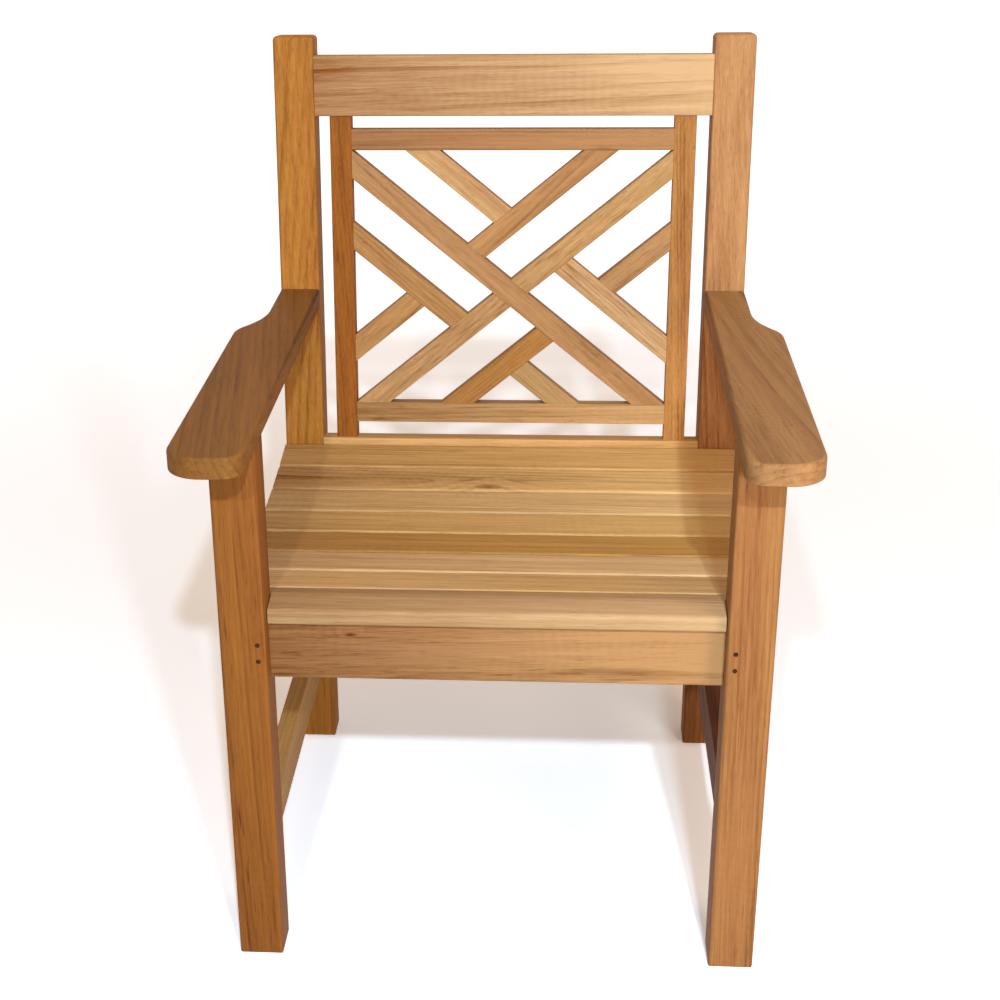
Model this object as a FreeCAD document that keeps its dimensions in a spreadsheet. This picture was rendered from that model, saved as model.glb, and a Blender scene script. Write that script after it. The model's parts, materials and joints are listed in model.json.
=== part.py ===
import FreeCAD, Part
import Sketcher
import math
import os
import re
from FreeCAD import Placement, Rotation, Vector

# A teak patio armchair, framed like joinery: two plumb front legs, two back posts that lean
# back above the seat, a crest rail, a basket-work fret of crossed diagonal bars, a hollowed
# seat of eight slats and two boards for arms. Nothing on it moves.
#
# The chair stands on the floor at Z 0 and faces -Y, with its left arm (seen from the front)
# on -X. The origin is on the floor, in the middle of its overall width and depth.
#
# Pieces are drawn from the front face of the front legs (Y 0) and then set back as a whole.
# Pieces of the back are drawn upright on the "back plane": X across, Y into the posts and
# Z up the posts from the bend at seat height. They are then leaned back with the posts.

SIZES = {
    # Frame
    "frame_width": 566,          # over the outer faces of the legs
    "leg_section": 48,           # side of the square legs, and width of the posts
    "post_depth": 44,
    "post_front": 500,           # from the legs' front faces to the posts' front faces
    "chair_height": 914,
    "bend_height": 422,          # where the posts start to lean back, level with the seat's edge
    "back_rake": 5.2,            # lean of the back, in degrees
    "leg_arris": 3,
    # Arms
    "arm_rise": 174,             # from the bend of the posts to the undersides of the arms
    "arm_thickness": 22,
    "arm_nose_overhang": 82,     # in front of the legs
    "arm_side_overhang": 28,     # outside the legs
    "arm_neck_length": 76,       # straight narrow part in front of the post
    "arm_hollow_radius": 130,
    "arm_shoulder_radius": 45,
    "arm_nose_outer_radius": 36,
    "arm_nose_inner_radius": 22,
    "arm_top_round": 4,
    "arm_bottom_chamfer": 1.5,
    # Crest rail and rear seat rail
    "crest_drop": 22.4,          # from the tops of the posts down to the crest rail
    "crest_height": 69.5,
    "back_rail_thickness": 26,
    "rear_rail_rise": 8.5,       # above the bend of the posts
    "rear_rail_height": 84.5,
    "rail_arris": 2,
    # Fret
    "fret_setback": 4,           # behind the faces of the posts
    "fret_thickness": 20,
    "fret_stile_gap": 17,        # daylight between post and stile
    "fret_stile_width": 26,
    "fret_rail_width": 25,
    "fret_top_gap": 15,          # daylight under the crest rail
    "fret_bottom_gap": 20,       # daylight over the rear seat rail
    "fret_bar_width": 26,
    "fret_lane_share": 0.2764,   # rise from one diagonal lane to the next, of the opening's height
    "fret_arris": 1,
    "stub_width": 12,
    "stub_thickness": 8,
    "stub_length": 8,
    "fret_tenon_width": 15,
    # Seat
    "seat_hollow_depth": 11.8,   # of the lowest line, below the rear edge of the front slat
    "seat_low_drop": 16.8,       # lowest line of the seat, below the bend of the posts
    "seat_low_share": 0.52,      # place of the same line, of the way from the legs to the posts
    "seat_nose_setback": 14,     # of the front slat's nose, behind the legs' front faces
    "slat_thickness": 18,
    "slat_gap": 3.7,
    "slat_arris": 2.5,
    "seat_back_gap": 4,          # clears the tilted lower edge of the rear slat
    "front_slat_nose_height": 16.5,
    "front_slat_thickness": 21.5,  # at its crest, which is level with the bend of the posts
    "front_slat_crest_place": 33,  # behind the nose
    "front_slat_crest_round": 40,
    "front_slat_nose_round": 6,
    "slat_leg_gap": 1,
    # Seat rails, bearer and stretchers
    "apron_recess": 24,          # behind the legs' front faces
    "apron_thickness": 22,
    "apron_height": 66,
    "side_rail_thickness": 24,
    "bearer_thickness": 24,
    "bearer_height": 48.5,
    "stretcher_bottom": 100,
    "stretcher_height": 56,
    "stretcher_thickness": 21,
    # Joints
    "tenon_thickness": 10,
    "tenon_length": 17,
    "tenon_root": 10,            # part of a loose-drawn tenon that lies inside its own rail
    "mortise_end_gap": 0.9,
    "joint_clearance": 0.1,
    "apron_tenon_height": 44,
    "side_tenon_height": 38,
    "side_tenon_lift": 7.5,      # above the lower edge of the rail
    "stretcher_tenon_height": 36,
    "crest_tenon_height": 46,
    "rear_tenon_height": 46,
    "bearer_tenon_height": 20,
    "bearer_tenon_length": 8,
    "arm_tenon_width": 28,
    "leg_tenon_side": 24,
    "leg_tenon_height": 12,
    # Pegs through the tenons
    "peg_thickness": 5,
    "peg_edge_distance": 8.7,    # from the shoulder line to the peg
    "peg_spacing": 18.7,
    "apron_peg_lift": 39.2,      # middle of the pair, above the lower edge of the apron
    "peg_in_tenon": 7,
    "cut_overrun": 60,           # saw cuts run this far past the wood
}
SLAT_COUNT = 8
PEG_SIDES = 8  # riven pegs; each crushes its round hole to its own shape

doc = FreeCAD.newDocument("patio_armchair")
sheet = doc.addObject("Spreadsheet::Sheet", "sizes")
for row, (alias, size) in enumerate(SIZES.items(), start=1):
    sheet.set(f"A{row}", alias)
    sheet.set(f"B{row}", str(size))
    sheet.setAlias(f"B{row}", alias)
doc.recompute()


# Expressions are written with the bare names of the sheet and get its name in front here.
def cells(text):
    def in_sheet(word):
        return f"sizes.{word[0]}" if word[0] in SIZES else word[0]

    return re.sub("[a-z_]+", in_sheet, text)


def value(text):
    result = sheet.evalExpression(cells(text))
    return float(getattr(result, "Value", result))


def bind(thing, prop, text):
    thing.setExpression(prop, cells(text))


# Lengths worked out from the sheet
overall_depth = (
    "(arm_nose_overhang + post_front + post_depth * cos(back_rake)"
    " + (chair_height - bend_height) * tan(back_rake))"
)
set_back = f"(arm_nose_overhang - {overall_depth} / 2)"
inner_face = "(frame_width / 2 - leg_section)"
leg_middle = "(frame_width / 2 - leg_section / 2)"
rail_run = "(post_front - leg_section)"
tenon_gap = "(tenon_thickness + 2 * joint_clearance)"

# The seat: its slats share the depth, and swing about one line high above the lowest line
slat_width = (
    "((post_front - seat_back_gap - seat_nose_setback + slat_gap)"
    f" / {SLAT_COUNT} - slat_gap)"
)
seat_low_place = "(post_front * seat_low_share)"
low_to_front = f"({seat_low_place} - seat_nose_setback - {slat_width})"
hollow_radius = f"(({low_to_front} ^ 2 + seat_hollow_depth ^ 2) / (2 * seat_hollow_depth))"
swing_height = f"(bend_height - seat_low_drop + {hollow_radius})"

# Heights of the arms and the seat, from the floor
arm_underside = "(bend_height + arm_rise)"
front_slat_bottom = "(bend_height - front_slat_thickness)"
rail_bottom = f"({front_slat_bottom} - apron_height)"
bearer_bottom = f"({front_slat_bottom} - bearer_height)"
rear_rail_top = "(bend_height + rear_rail_rise / cos(back_rake))"
rear_rail_bottom = f"({rear_rail_top} - rear_rail_height)"
apron_peg_height = f"({rail_bottom} + apron_peg_lift)"
side_tenon_bottom = f"({rail_bottom} + side_tenon_lift)"

# Heights along the leaning back, from the bend
post_top = "((chair_height - bend_height) / cos(back_rake))"
crest_bottom = f"({post_top} - crest_drop - crest_height)"
open_top = f"({crest_bottom} - fret_top_gap - fret_rail_width)"
open_bottom = "(rear_rail_rise + fret_bottom_gap + fret_rail_width)"
open_height = f"({open_top} - {open_bottom})"
open_side = f"({inner_face} - fret_stile_gap - fret_stile_width)"
fret_middle_depth = "(fret_setback + fret_thickness / 2)"

# The two long bars run from the top corners of the opening to its bottom corners, each with
# its upper edge on the corner, so they cross half a bar below the middle of the opening.
slope = f"atan({open_height} / (2 * {open_side}))"
cross_height = f"(({open_top} + {open_bottom}) / 2 - fret_bar_width / (2 * cos({slope})))"
lane_pitch = f"(fret_lane_share * {open_height} * cos({slope}))"


# Placing and joining
def place(thing, at, axis=Vector(0, 0, 1), angle=None):
    if angle is not None:
        thing.Placement = Placement(Vector(), Rotation(axis, 1))
        bind(thing, "Placement.Rotation.Angle", angle)
    for letter, where in zip("xyz", at):
        bind(thing, f"Placement.Base.{letter}", where)


def block(name, size, middle, axis=None, angle="0"):
    """A square-edged block for a tenon, mortise or saw cut, turned about X or Y in its middle."""
    box = doc.addObject("Part::Box", name)
    for prop, length in zip(("Length", "Width", "Height"), size):
        bind(box, prop, length)
    half = [f"({length}) / 2" for length in size]
    if axis == "Y":
        reach = (
            f"({half[0]} * cos({angle}) + {half[2]} * sin({angle}))",
            half[1],
            f"({half[2]} * cos({angle}) - {half[0]} * sin({angle}))",
        )
    elif axis == "X":
        reach = (
            half[0],
            f"({half[1]} * cos({angle}) - {half[2]} * sin({angle}))",
            f"({half[2]} * cos({angle}) + {half[1]} * sin({angle}))",
        )
    else:
        reach = half
    corner = [f"{centre} - {back}" for centre, back in zip(middle, reach)]
    if axis is None:
        place(box, corner)
    else:
        place(box, corner, Vector(0, 1, 0) if axis == "Y" else Vector(1, 0, 0), angle)
    return box


def on_back(across, depth, height):
    """Turn a point on the back plane into one of the upright chair."""
    return (
        across,
        f"post_front + ({depth}) * cos(back_rake) + ({height}) * sin(back_rake)",
        f"bend_height - ({depth}) * sin(back_rake) + ({height}) * cos(back_rake)",
    )


def leaning_block(name, size, middle):
    return block(name, size, on_back(*middle), "X", "-back_rake")


def peg(name, thickness, start, axis, angle, length):
    """A peg, or its hole, that starts at a point and runs along Z turned about one axis."""
    prism = doc.addObject("Part::Prism", name)
    prism.Polygon = PEG_SIDES
    bind(prism, "Circumradius", f"({thickness}) / (2 * cos(180 / {PEG_SIDES}))")
    bind(prism, "Height", length)
    place(prism, start, axis, angle)
    return prism


def joined(name, pieces):
    if len(pieces) == 1:
        return pieces[0]
    union = doc.addObject("Part::MultiFuse", name)
    union.Shapes = pieces
    union.Refine = True
    return union


def carved(name, base, tools):
    if not tools:
        return base
    cut = doc.addObject("Part::Cut", name)
    cut.Base = base
    cut.Tool = joined(name + "_tools", tools)
    cut.Refine = True
    return cut


NODES = []


def piece(label, base, trim=(), add=(), cut=(), leaning=False):
    """Trim a board to its shoulders, add its tenons, cut its mortises and set it in the chair."""
    trimmed = carved(label + "_trimmed", base, list(trim))
    with_tenons = joined(label + "_with_tenons", [trimmed, *add])
    finished = carved(label + "_finished", with_tenons, list(cut))
    finished.Label = label
    if leaning:
        seat = ("0", f"{set_back} + post_front", "bend_height")
        place(finished, seat, Vector(1, 0, 0), "-back_rake")
    else:
        place(finished, ("0", set_back, "0"))
    NODES.append(finished)
    return finished


def group(label, pieces):
    """Like fasteners that share one node, each a solid of its own."""
    compound = doc.addObject("Part::Compound", label)
    compound.Links = pieces
    NODES.append(compound)
    return compound


def mirrored(label, source):
    twin = doc.addObject("Part::Mirroring", label)
    twin.Source = source
    twin.Base = Vector(0, 0, 0)
    twin.Normal = Vector(1, 0, 0)
    NODES.append(twin)
    return twin


# Sketching
def new_sketch(body, plane, name):
    sketch = body.newObject("Sketcher::SketchObject", name)
    support = [f for f in body.Origin.OriginFeatures if f.Role == plane][0]
    sketch.AttachmentSupport = [(support, "")]
    sketch.MapMode = "FlatFace"
    return sketch


def line(sketch, start, end):
    return sketch.addGeometry(Part.LineSegment(Vector(*start, 0), Vector(*end, 0)), False)


def arc(sketch, middle, radius, start, end):
    """A counter-clockwise arc, its ends in degrees."""
    circle = Part.Circle(Vector(*middle, 0), Vector(0, 0, 1), radius)
    curve = Part.ArcOfCircle(circle, math.radians(start), math.radians(end))
    return sketch.addGeometry(curve, False)


def fix(sketch, name, kind, *refs, to):
    """A named dimension of the sketch, bound to the sheet."""
    sketch.addConstraint(Sketcher.Constraint(kind, *refs, value(to)))
    sketch.renameConstraint(sketch.ConstraintCount - 1, name)
    bind(sketch, f"Constraints.{name}", to)


def tie(sketch, kind, *refs):
    sketch.addConstraint(Sketcher.Constraint(kind, *refs))


ORIGIN = (-1, 1)


def rounded_section(body, plane, width, height, radius):
    """The sawn section of a board with eased arrises, centred on its own axis."""
    sketch = new_sketch(body, plane, body.Name + "_section")
    half_w, half_h, r = value(width) / 2, value(height) / 2, value(radius)
    bottom = line(sketch, (r - half_w, -half_h), (half_w - r, -half_h))
    right = line(sketch, (half_w, r - half_h), (half_w, half_h - r))
    top = line(sketch, (half_w - r, half_h), (r - half_w, half_h))
    left = line(sketch, (-half_w, half_h - r), (-half_w, r - half_h))
    corners = [
        arc(sketch, (half_w - r, r - half_h), r, 270, 360),
        arc(sketch, (half_w - r, half_h - r), r, 0, 90),
        arc(sketch, (r - half_w, half_h - r), r, 90, 180),
        arc(sketch, (r - half_w, r - half_h), r, 180, 270),
    ]
    sides = [bottom, right, top, left]
    for here, corner in enumerate(corners):
        tie(sketch, "Tangent", sides[here], 2, corner, 1)
        tie(sketch, "Tangent", corner, 2, sides[(here + 1) % 4], 1)
    for corner in corners[1:]:
        tie(sketch, "Equal", corners[0], corner)
    for flat in (bottom, top):
        tie(sketch, "Horizontal", flat)
    for upright in (left, right):
        tie(sketch, "Vertical", upright)
    tie(sketch, "Symmetric", bottom, 1, top, 1, *ORIGIN)
    fix(sketch, "arris", "Radius", corners[0], to=radius)
    fix(sketch, "width", "DistanceX", left, 1, right, 1, to=width)
    fix(sketch, "height", "DistanceY", bottom, 1, top, 1, to=height)
    return sketch


def extrude(body, sketch, length):
    pad = body.newObject("PartDesign::Pad", body.Name + "_pad")
    pad.Profile = sketch
    pad.SideType = "Symmetric"
    bind(pad, "Length", length)
    sketch.Visibility = False
    return pad


SECTION_PLANES = {"X": ("YZ_Plane", "Y", "Z"), "Y": ("XZ_Plane", "X", "Z"), "Z": ("XY_Plane", "X", "Y")}


def board(name, grain, size, middle, arris, axis=None, angle=None):
    """A straight board whose grain, and length, run along X, Y or Z."""
    plane, across, up = SECTION_PLANES[grain]
    lengths = dict(zip("XYZ", size))
    body = doc.addObject("PartDesign::Body", name)
    section = rounded_section(body, plane, lengths[across], lengths[up], arris)
    extrude(body, section, lengths[grain])
    if axis is None:
        place(body, middle)
    else:
        place(body, middle, axis, angle)
    return body


def ease_edges(body, name, kind, size, wanted):
    """Round (Fillet, Radius) or bevel (Chamfer, Size) the edges that pass the test."""
    doc.recompute()
    base = body.Tip
    edges = enumerate(base.Shape.Edges, start=1)
    names = [f"Edge{number}" for number, edge in edges if wanted(edge)]
    eased = body.newObject(f"PartDesign::{kind}", name)
    eased.Base = (base, names)
    bind(eased, "Radius" if kind == "Fillet" else "Size", size)


# Front legs: plumb, square, with a stub tenon up into the arm. The apron's mortise opens on
# the inner face, those of the side rail and the stretcher on the back face. Two pegs come in
# from the front and three from the outer side.
leg = board(
    "front_leg", "Z", ("leg_section", "leg_section", arm_underside),
    (leg_middle, "leg_section / 2", f"{arm_underside} / 2"), "leg_arris",
)
leg_top_tenon = block(
    "leg_top_tenon",
    ("leg_tenon_side", "leg_tenon_side", "leg_tenon_height + tenon_root"),
    (leg_middle, "leg_section / 2", f"{arm_underside} + (leg_tenon_height - tenon_root) / 2"),
)
apron_middle_depth = "(apron_recess + apron_thickness / 2)"
mortise_depth = "(tenon_length + mortise_end_gap)"
apron_mortise = block(
    "apron_mortise",
    (f"2 * {mortise_depth}", tenon_gap, "apron_tenon_height + 2 * joint_clearance"),
    (inner_face, apron_middle_depth, apron_peg_height),
)


def side_mortise(name, face, bottom, height):
    """Mortise for a side rail or stretcher, centred on the leg, equally deep in leg or post."""
    return block(
        name,
        (tenon_gap, f"2 * {mortise_depth}", f"{height} + 2 * joint_clearance"),
        (leg_middle, face, f"{bottom} + ({height}) / 2"),
    )


stretcher_tenon_bottom = "(stretcher_bottom + (stretcher_height - stretcher_tenon_height) / 2)"
side_peg_middle = f"({side_tenon_bottom} + side_tenon_height / 2)"
stretcher_peg_height = "(stretcher_bottom + stretcher_height / 2)"
side_peg_length = "(leg_section / 2 - tenon_thickness / 2 + peg_in_tenon)"
front_peg_length = f"({apron_middle_depth} - tenon_thickness / 2 + peg_in_tenon)"
rear_peg_length = "(post_depth - back_rail_thickness / 2 - tenon_thickness / 2 + peg_in_tenon)"
peg_across = f"({inner_face} + peg_edge_distance)"


def peg_pair(middle):
    return [f"{middle} - peg_spacing / 2", f"{middle} + peg_spacing / 2"]


# Where the pegs go in on the right-hand side: start point, axis to turn Z about, and angle
FRONT_PEGS = [
    ((peg_across, "0", height), Vector(1, 0, 0), "-90") for height in peg_pair(apron_peg_height)
]
LEG_SIDE_PEGS = [
    (("frame_width / 2", "leg_section - peg_edge_distance", height), Vector(0, 1, 0), "-90")
    for height in [*peg_pair(side_peg_middle), stretcher_peg_height]
]
POST_SIDE_PEGS = [
    (("frame_width / 2", "post_front + peg_edge_distance", height), Vector(0, 1, 0), "-90")
    for height in [*peg_pair(side_peg_middle), stretcher_peg_height]
]
rear_rail_peg_middle = f"({rear_rail_bottom} + rear_tenon_height / 2 + 2 * rail_arris)"
REAR_RAIL_PEGS = [
    ((peg_across, "post_front + post_depth", height), Vector(1, 0, 0), "90")
    for height in peg_pair(rear_rail_peg_middle)
]
crest_middle = f"({crest_bottom} + crest_height / 2)"
CREST_PEGS = [
    (on_back(peg_across, "post_depth", height), Vector(1, 0, 0), "90 - back_rake")
    for height in peg_pair(crest_middle)
]


def peg_holes(name, places, length):
    room = "peg_thickness + 2 * joint_clearance"
    return [
        peg(f"{name}_{number}", room, *spot, length)
        for number, spot in enumerate(places, start=1)
    ]


leg_sockets = [
    apron_mortise,
    side_mortise("leg_side_rail_mortise", "leg_section", side_tenon_bottom, "side_tenon_height"),
    side_mortise(
        "leg_stretcher_mortise", "leg_section", stretcher_tenon_bottom, "stretcher_tenon_height"
    ),
]
leg_peg_holes = [
    *peg_holes("leg_front_peg_hole", FRONT_PEGS, front_peg_length),
    *peg_holes("leg_side_peg_hole", LEG_SIDE_PEGS, side_peg_length),
]
front_leg_right = piece("front_leg_right", leg, add=[leg_top_tenon], cut=leg_sockets + leg_peg_holes)
mirrored("front_leg_left", front_leg_right)

# Back posts: sawn from wide stock with the bend in them, plumb to the seat and leaning above
post = doc.addObject("PartDesign::Body", "back_post")
profile = new_sketch(post, "YZ_Plane", "back_post_profile")
lean, depth, bend = value("back_rake"), value("post_depth"), value("bend_height")
rear_bend = value("bend_height - post_depth * tan(back_rake / 2)")
front_top = (value(f"{post_top} * sin(back_rake)"), value("chair_height"))
rear_top = (
    front_top[0] + value("post_depth * cos(back_rake)"),
    front_top[1] - value("post_depth * sin(back_rake)"),
)
foot = line(profile, (0, 0), (depth, 0))
rear_plumb = line(profile, (depth, 0), (depth, rear_bend))
rear_lean = line(profile, (depth, rear_bend), rear_top)
top_end = line(profile, rear_top, front_top)
front_lean = line(profile, front_top, (0, bend))
front_plumb = line(profile, (0, bend), (0, 0))
outline = [foot, rear_plumb, rear_lean, top_end, front_lean, front_plumb]
for here, following in zip(outline, outline[1:] + outline[:1]):
    tie(profile, "Coincident", here, 2, following, 1)
tie(profile, "Coincident", foot, 1, *ORIGIN)
tie(profile, "Horizontal", foot)
tie(profile, "Vertical", rear_plumb)
tie(profile, "Vertical", front_plumb)
tie(profile, "Parallel", rear_lean, front_lean)
tie(profile, "Perpendicular", top_end, front_lean)
fix(profile, "depth", "DistanceX", foot, 1, foot, 2, to="post_depth")
fix(profile, "bend", "DistanceY", foot, 1, front_plumb, 1, to="bend_height")
fix(profile, "top", "DistanceY", foot, 1, front_lean, 1, to="chair_height")
fix(profile, "lean", "DistanceX", front_lean, 2, front_lean, 1, to=f"{post_top} * sin(back_rake)")
fix(profile, "square_end", "Distance", top_end, 1, top_end, 2, to="post_depth")
extrude(post, profile, "leg_section")
place(post, (leg_middle, "post_front", "0"))


def on_side_face(edge):
    """Edges that lie in the post's two side faces, but not those round the foot."""
    flat = edge.BoundBox.XLength < value("leg_arris") / 2
    return flat and edge.BoundBox.ZMax > value("leg_arris")


ease_edges(post, "back_post_arrises", "Fillet", "leg_arris", on_side_face)
crest_mortise = leaning_block(
    "crest_mortise",
    (f"2 * {mortise_depth}", tenon_gap, "crest_tenon_height + 2 * joint_clearance"),
    (inner_face, "back_rail_thickness / 2", crest_middle),
)
rear_rail_mortise = block(
    "rear_rail_mortise",
    (f"2 * {mortise_depth}", tenon_gap, "rear_tenon_height + 2 * joint_clearance"),
    (inner_face, "post_front + back_rail_thickness / 2", rear_rail_peg_middle),
)
arm_middle = f"({arm_underside} + arm_thickness / 2)"
arm_meets_post = f"(post_front + ({arm_middle} - bend_height) * tan(back_rake))"
arm_mortise = block(
    "arm_mortise",
    ("arm_tenon_width + 2 * joint_clearance", f"2 * {mortise_depth}", tenon_gap),
    (leg_middle, arm_meets_post, arm_middle),
)
post_sockets = [
    crest_mortise,
    rear_rail_mortise,
    arm_mortise,
    side_mortise("post_side_rail_mortise", "post_front", side_tenon_bottom, "side_tenon_height"),
    side_mortise(
        "post_stretcher_mortise", "post_front", stretcher_tenon_bottom, "stretcher_tenon_height"
    ),
]
post_peg_holes = [
    *peg_holes("post_side_peg_hole", POST_SIDE_PEGS, side_peg_length),
    *peg_holes("post_rear_peg_hole", REAR_RAIL_PEGS, rear_peg_length),
    *peg_holes("post_crest_peg_hole", CREST_PEGS, rear_peg_length),
]
back_post_right = piece("back_post_right", post, cut=post_sockets + post_peg_holes)
mirrored("back_post_left", back_post_right)


# Slats of the seat: they swing about one line high above it, so that the seat is hollow
def slat_place(number):
    """Middle of a slat, counted from the back, behind the legs' front faces."""
    return (
        f"(post_front - seat_back_gap - {slat_width} / 2"
        f" - ({slat_width} + slat_gap) * ({number} - 1))"
    )


def slat_angle(number):
    return f"asin(({slat_place(number)} - {seat_low_place}) / {hollow_radius})"


slat_underside = f"({hollow_radius} + slat_thickness)"
slat_middle = f"({hollow_radius} + slat_thickness / 2)"
for number in range(1, SLAT_COUNT):
    angle = slat_angle(number)
    seat_slat = board(
        f"seat_slat_{number}", "X", ("frame_width", slat_width, "slat_thickness"),
        (
            "0",
            f"{set_back} + {seat_low_place} + {slat_middle} * sin({angle})",
            f"{swing_height} - {slat_middle} * cos({angle})",
        ),
        "slat_arris", Vector(1, 0, 0), angle,
    )
    NODES.append(seat_slat)

# Front slat: it lies level, rolls over at the nose and is notched round the two legs
front_slat_rear_top = f"(bend_height - seat_low_drop + seat_hollow_depth - {front_slat_bottom})"
front_slat = doc.addObject("PartDesign::Body", "front_slat")
profile = new_sketch(front_slat, "YZ_Plane", "front_slat_profile")
width, crest_place = value(slat_width), value("front_slat_crest_place")
nose_top, crest_top = value("front_slat_nose_height"), value("front_slat_thickness")
under = line(profile, (0, 0), (width, 0))
rear = line(profile, (width, 0), (width, value(front_slat_rear_top)))
rear_slope = line(profile, (width, value(front_slat_rear_top)), (crest_place, crest_top))
front_slope = line(profile, (crest_place, crest_top), (0, nose_top))
nose = line(profile, (0, nose_top), (0, 0))
outline = [under, rear, rear_slope, front_slope, nose]
for here, following in zip(outline, outline[1:] + outline[:1]):
    tie(profile, "Coincident", here, 2, following, 1)
tie(profile, "Coincident", under, 1, *ORIGIN)
tie(profile, "Horizontal", under)
tie(profile, "Vertical", rear)
tie(profile, "Vertical", nose)
fix(profile, "width", "DistanceX", under, 1, under, 2, to=slat_width)
fix(profile, "rear_height", "DistanceY", rear, 1, rear, 2, to=front_slat_rear_top)
fix(profile, "crest_place", "DistanceX", under, 1, rear_slope, 2, to="front_slat_crest_place")
fix(profile, "crest_height", "DistanceY", under, 1, rear_slope, 2, to="front_slat_thickness")
fix(profile, "nose_height", "DistanceY", under, 1, nose, 1, to="front_slat_nose_height")
extrude(front_slat, profile, "frame_width")


def long_edge_at(depth, height):
    """Test for the long edge that runs through one corner of the profile."""
    spot = Vector(0, value(depth), value(height))
    return lambda edge: edge.CenterOfMass.distanceToPoint(spot) < value("slat_arris") / 2


for edge_name, radius, depth, height in (
    ("roll", "front_slat_crest_round", "front_slat_crest_place", "front_slat_thickness"),
    ("nose", "front_slat_nose_round", "0", "front_slat_nose_height"),
    ("under", "slat_arris", "0", "0"),
    ("back", "slat_arris", slat_width, front_slat_rear_top),
):
    ease_edges(front_slat, f"front_slat_{edge_name}", "Fillet", radius, long_edge_at(depth, height))
place(front_slat, ("0", "seat_nose_setback", front_slat_bottom))
notch_depth = "(leg_section + slat_leg_gap - seat_nose_setback)"
notches = [
    block(
        f"front_slat_notch_{side}",
        ("2 * (leg_section + slat_leg_gap)", f"2 * {notch_depth}", "2 * cut_overrun"),
        (f"{sign} * frame_width / 2", "seat_nose_setback", front_slat_bottom),
    )
    for side, sign in (("left", -1), ("right", 1))
]
piece(f"seat_slat_{SLAT_COUNT}", front_slat, cut=notches)


# Rails under the seat: their top edges are hollowed to the undersides of the slats
def hollow_rail(name, thickness, start, end, bottom, across):
    """A rail from front to back with the seat's hollow along its top edge."""
    body = doc.addObject("PartDesign::Body", name)
    sketch = new_sketch(body, "YZ_Plane", name + "_profile")
    reach = f"sqrt({slat_underside} ^ 2 + ({slat_width} / 2) ^ 2)"
    flat_end = f"({seat_low_place} - sqrt(({reach}) ^ 2 - ({swing_height} - {front_slat_bottom}) ^ 2))"
    rear_height = f"({swing_height} - sqrt(({reach}) ^ 2 - ({end} - {seat_low_place}) ^ 2))"
    y0, y1, z0 = value(start), value(end), value(bottom)
    level, turn, rear_top = value(front_slat_bottom), value(flat_end), value(rear_height)
    centre = (value(seat_low_place), value(swing_height))
    radius = value(reach)
    angle_of = [Vector(y - centre[0], z - centre[1]) for y, z in ((turn, level), (y1, rear_top))]
    degrees = [360 - value(f"acos({v.x / v.Length})") for v in angle_of]
    under = line(sketch, (y0, z0), (y1, z0))
    rear = line(sketch, (y1, z0), (y1, rear_top))
    hollow = arc(sketch, centre, radius, *degrees)
    flat = line(sketch, (turn, level), (y0, level))
    front = line(sketch, (y0, level), (y0, z0))
    tie(sketch, "Coincident", under, 2, rear, 1)
    tie(sketch, "Coincident", rear, 2, hollow, 2)
    tie(sketch, "Coincident", hollow, 1, flat, 1)
    tie(sketch, "Coincident", flat, 2, front, 1)
    tie(sketch, "Coincident", front, 2, under, 1)
    tie(sketch, "Horizontal", under)
    tie(sketch, "Horizontal", flat)
    tie(sketch, "Vertical", rear)
    tie(sketch, "Vertical", front)
    fix(sketch, "start", "DistanceX", *ORIGIN, under, 1, to=start)
    fix(sketch, "end", "DistanceX", *ORIGIN, under, 2, to=end)
    fix(sketch, "bottom", "DistanceY", *ORIGIN, under, 1, to=bottom)
    fix(sketch, "level", "DistanceY", *ORIGIN, flat, 2, to=front_slat_bottom)
    fix(sketch, "swing_place", "DistanceX", *ORIGIN, hollow, 3, to=seat_low_place)
    fix(sketch, "swing_height", "DistanceY", *ORIGIN, hollow, 3, to=swing_height)
    fix(sketch, "hollow", "Radius", hollow, to=reach)
    extrude(body, sketch, thickness)
    place(body, (across, "0", "0"))
    return body


side_rail = hollow_rail(
    "side_rail", "side_rail_thickness", "leg_section", "post_front", rail_bottom, leg_middle
)
side_rail_tenons = block(
    "side_rail_tenons",
    ("tenon_thickness", f"{rail_run} + 2 * tenon_length", "side_tenon_height"),
    (leg_middle, "(leg_section + post_front) / 2", f"{side_tenon_bottom} + side_tenon_height / 2"),
)
side_rail_peg_holes = [
    *peg_holes("side_rail_front_peg_hole", LEG_SIDE_PEGS[:2], side_peg_length),
    *peg_holes("side_rail_rear_peg_hole", POST_SIDE_PEGS[:2], side_peg_length),
]
side_seat_rail_right = piece(
    "side_seat_rail_right", side_rail, add=[side_rail_tenons], cut=side_rail_peg_holes
)
mirrored("side_seat_rail_left", side_seat_rail_right)

apron_back = "(apron_recess + apron_thickness)"
bearer = hollow_rail("bearer", "bearer_thickness", apron_back, "post_front", bearer_bottom, "0")
bearer_tenon_middle = f"({bearer_bottom} + bearer_tenon_height / 2 + 2 * rail_arris)"
bearer_tenons = block(
    "bearer_tenons",
    ("tenon_thickness", f"post_front - {apron_back} + 2 * bearer_tenon_length", "bearer_tenon_height"),
    ("0", f"({apron_back} + post_front) / 2", bearer_tenon_middle),
)
piece("centre_seat_bearer", bearer, add=[bearer_tenons])


def bearer_mortise(name, face):
    depth = "(bearer_tenon_length + mortise_end_gap)"
    size = (tenon_gap, f"2 * {depth}", "bearer_tenon_height + 2 * joint_clearance")
    return block(name, size, ("0", face, bearer_tenon_middle))


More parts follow.
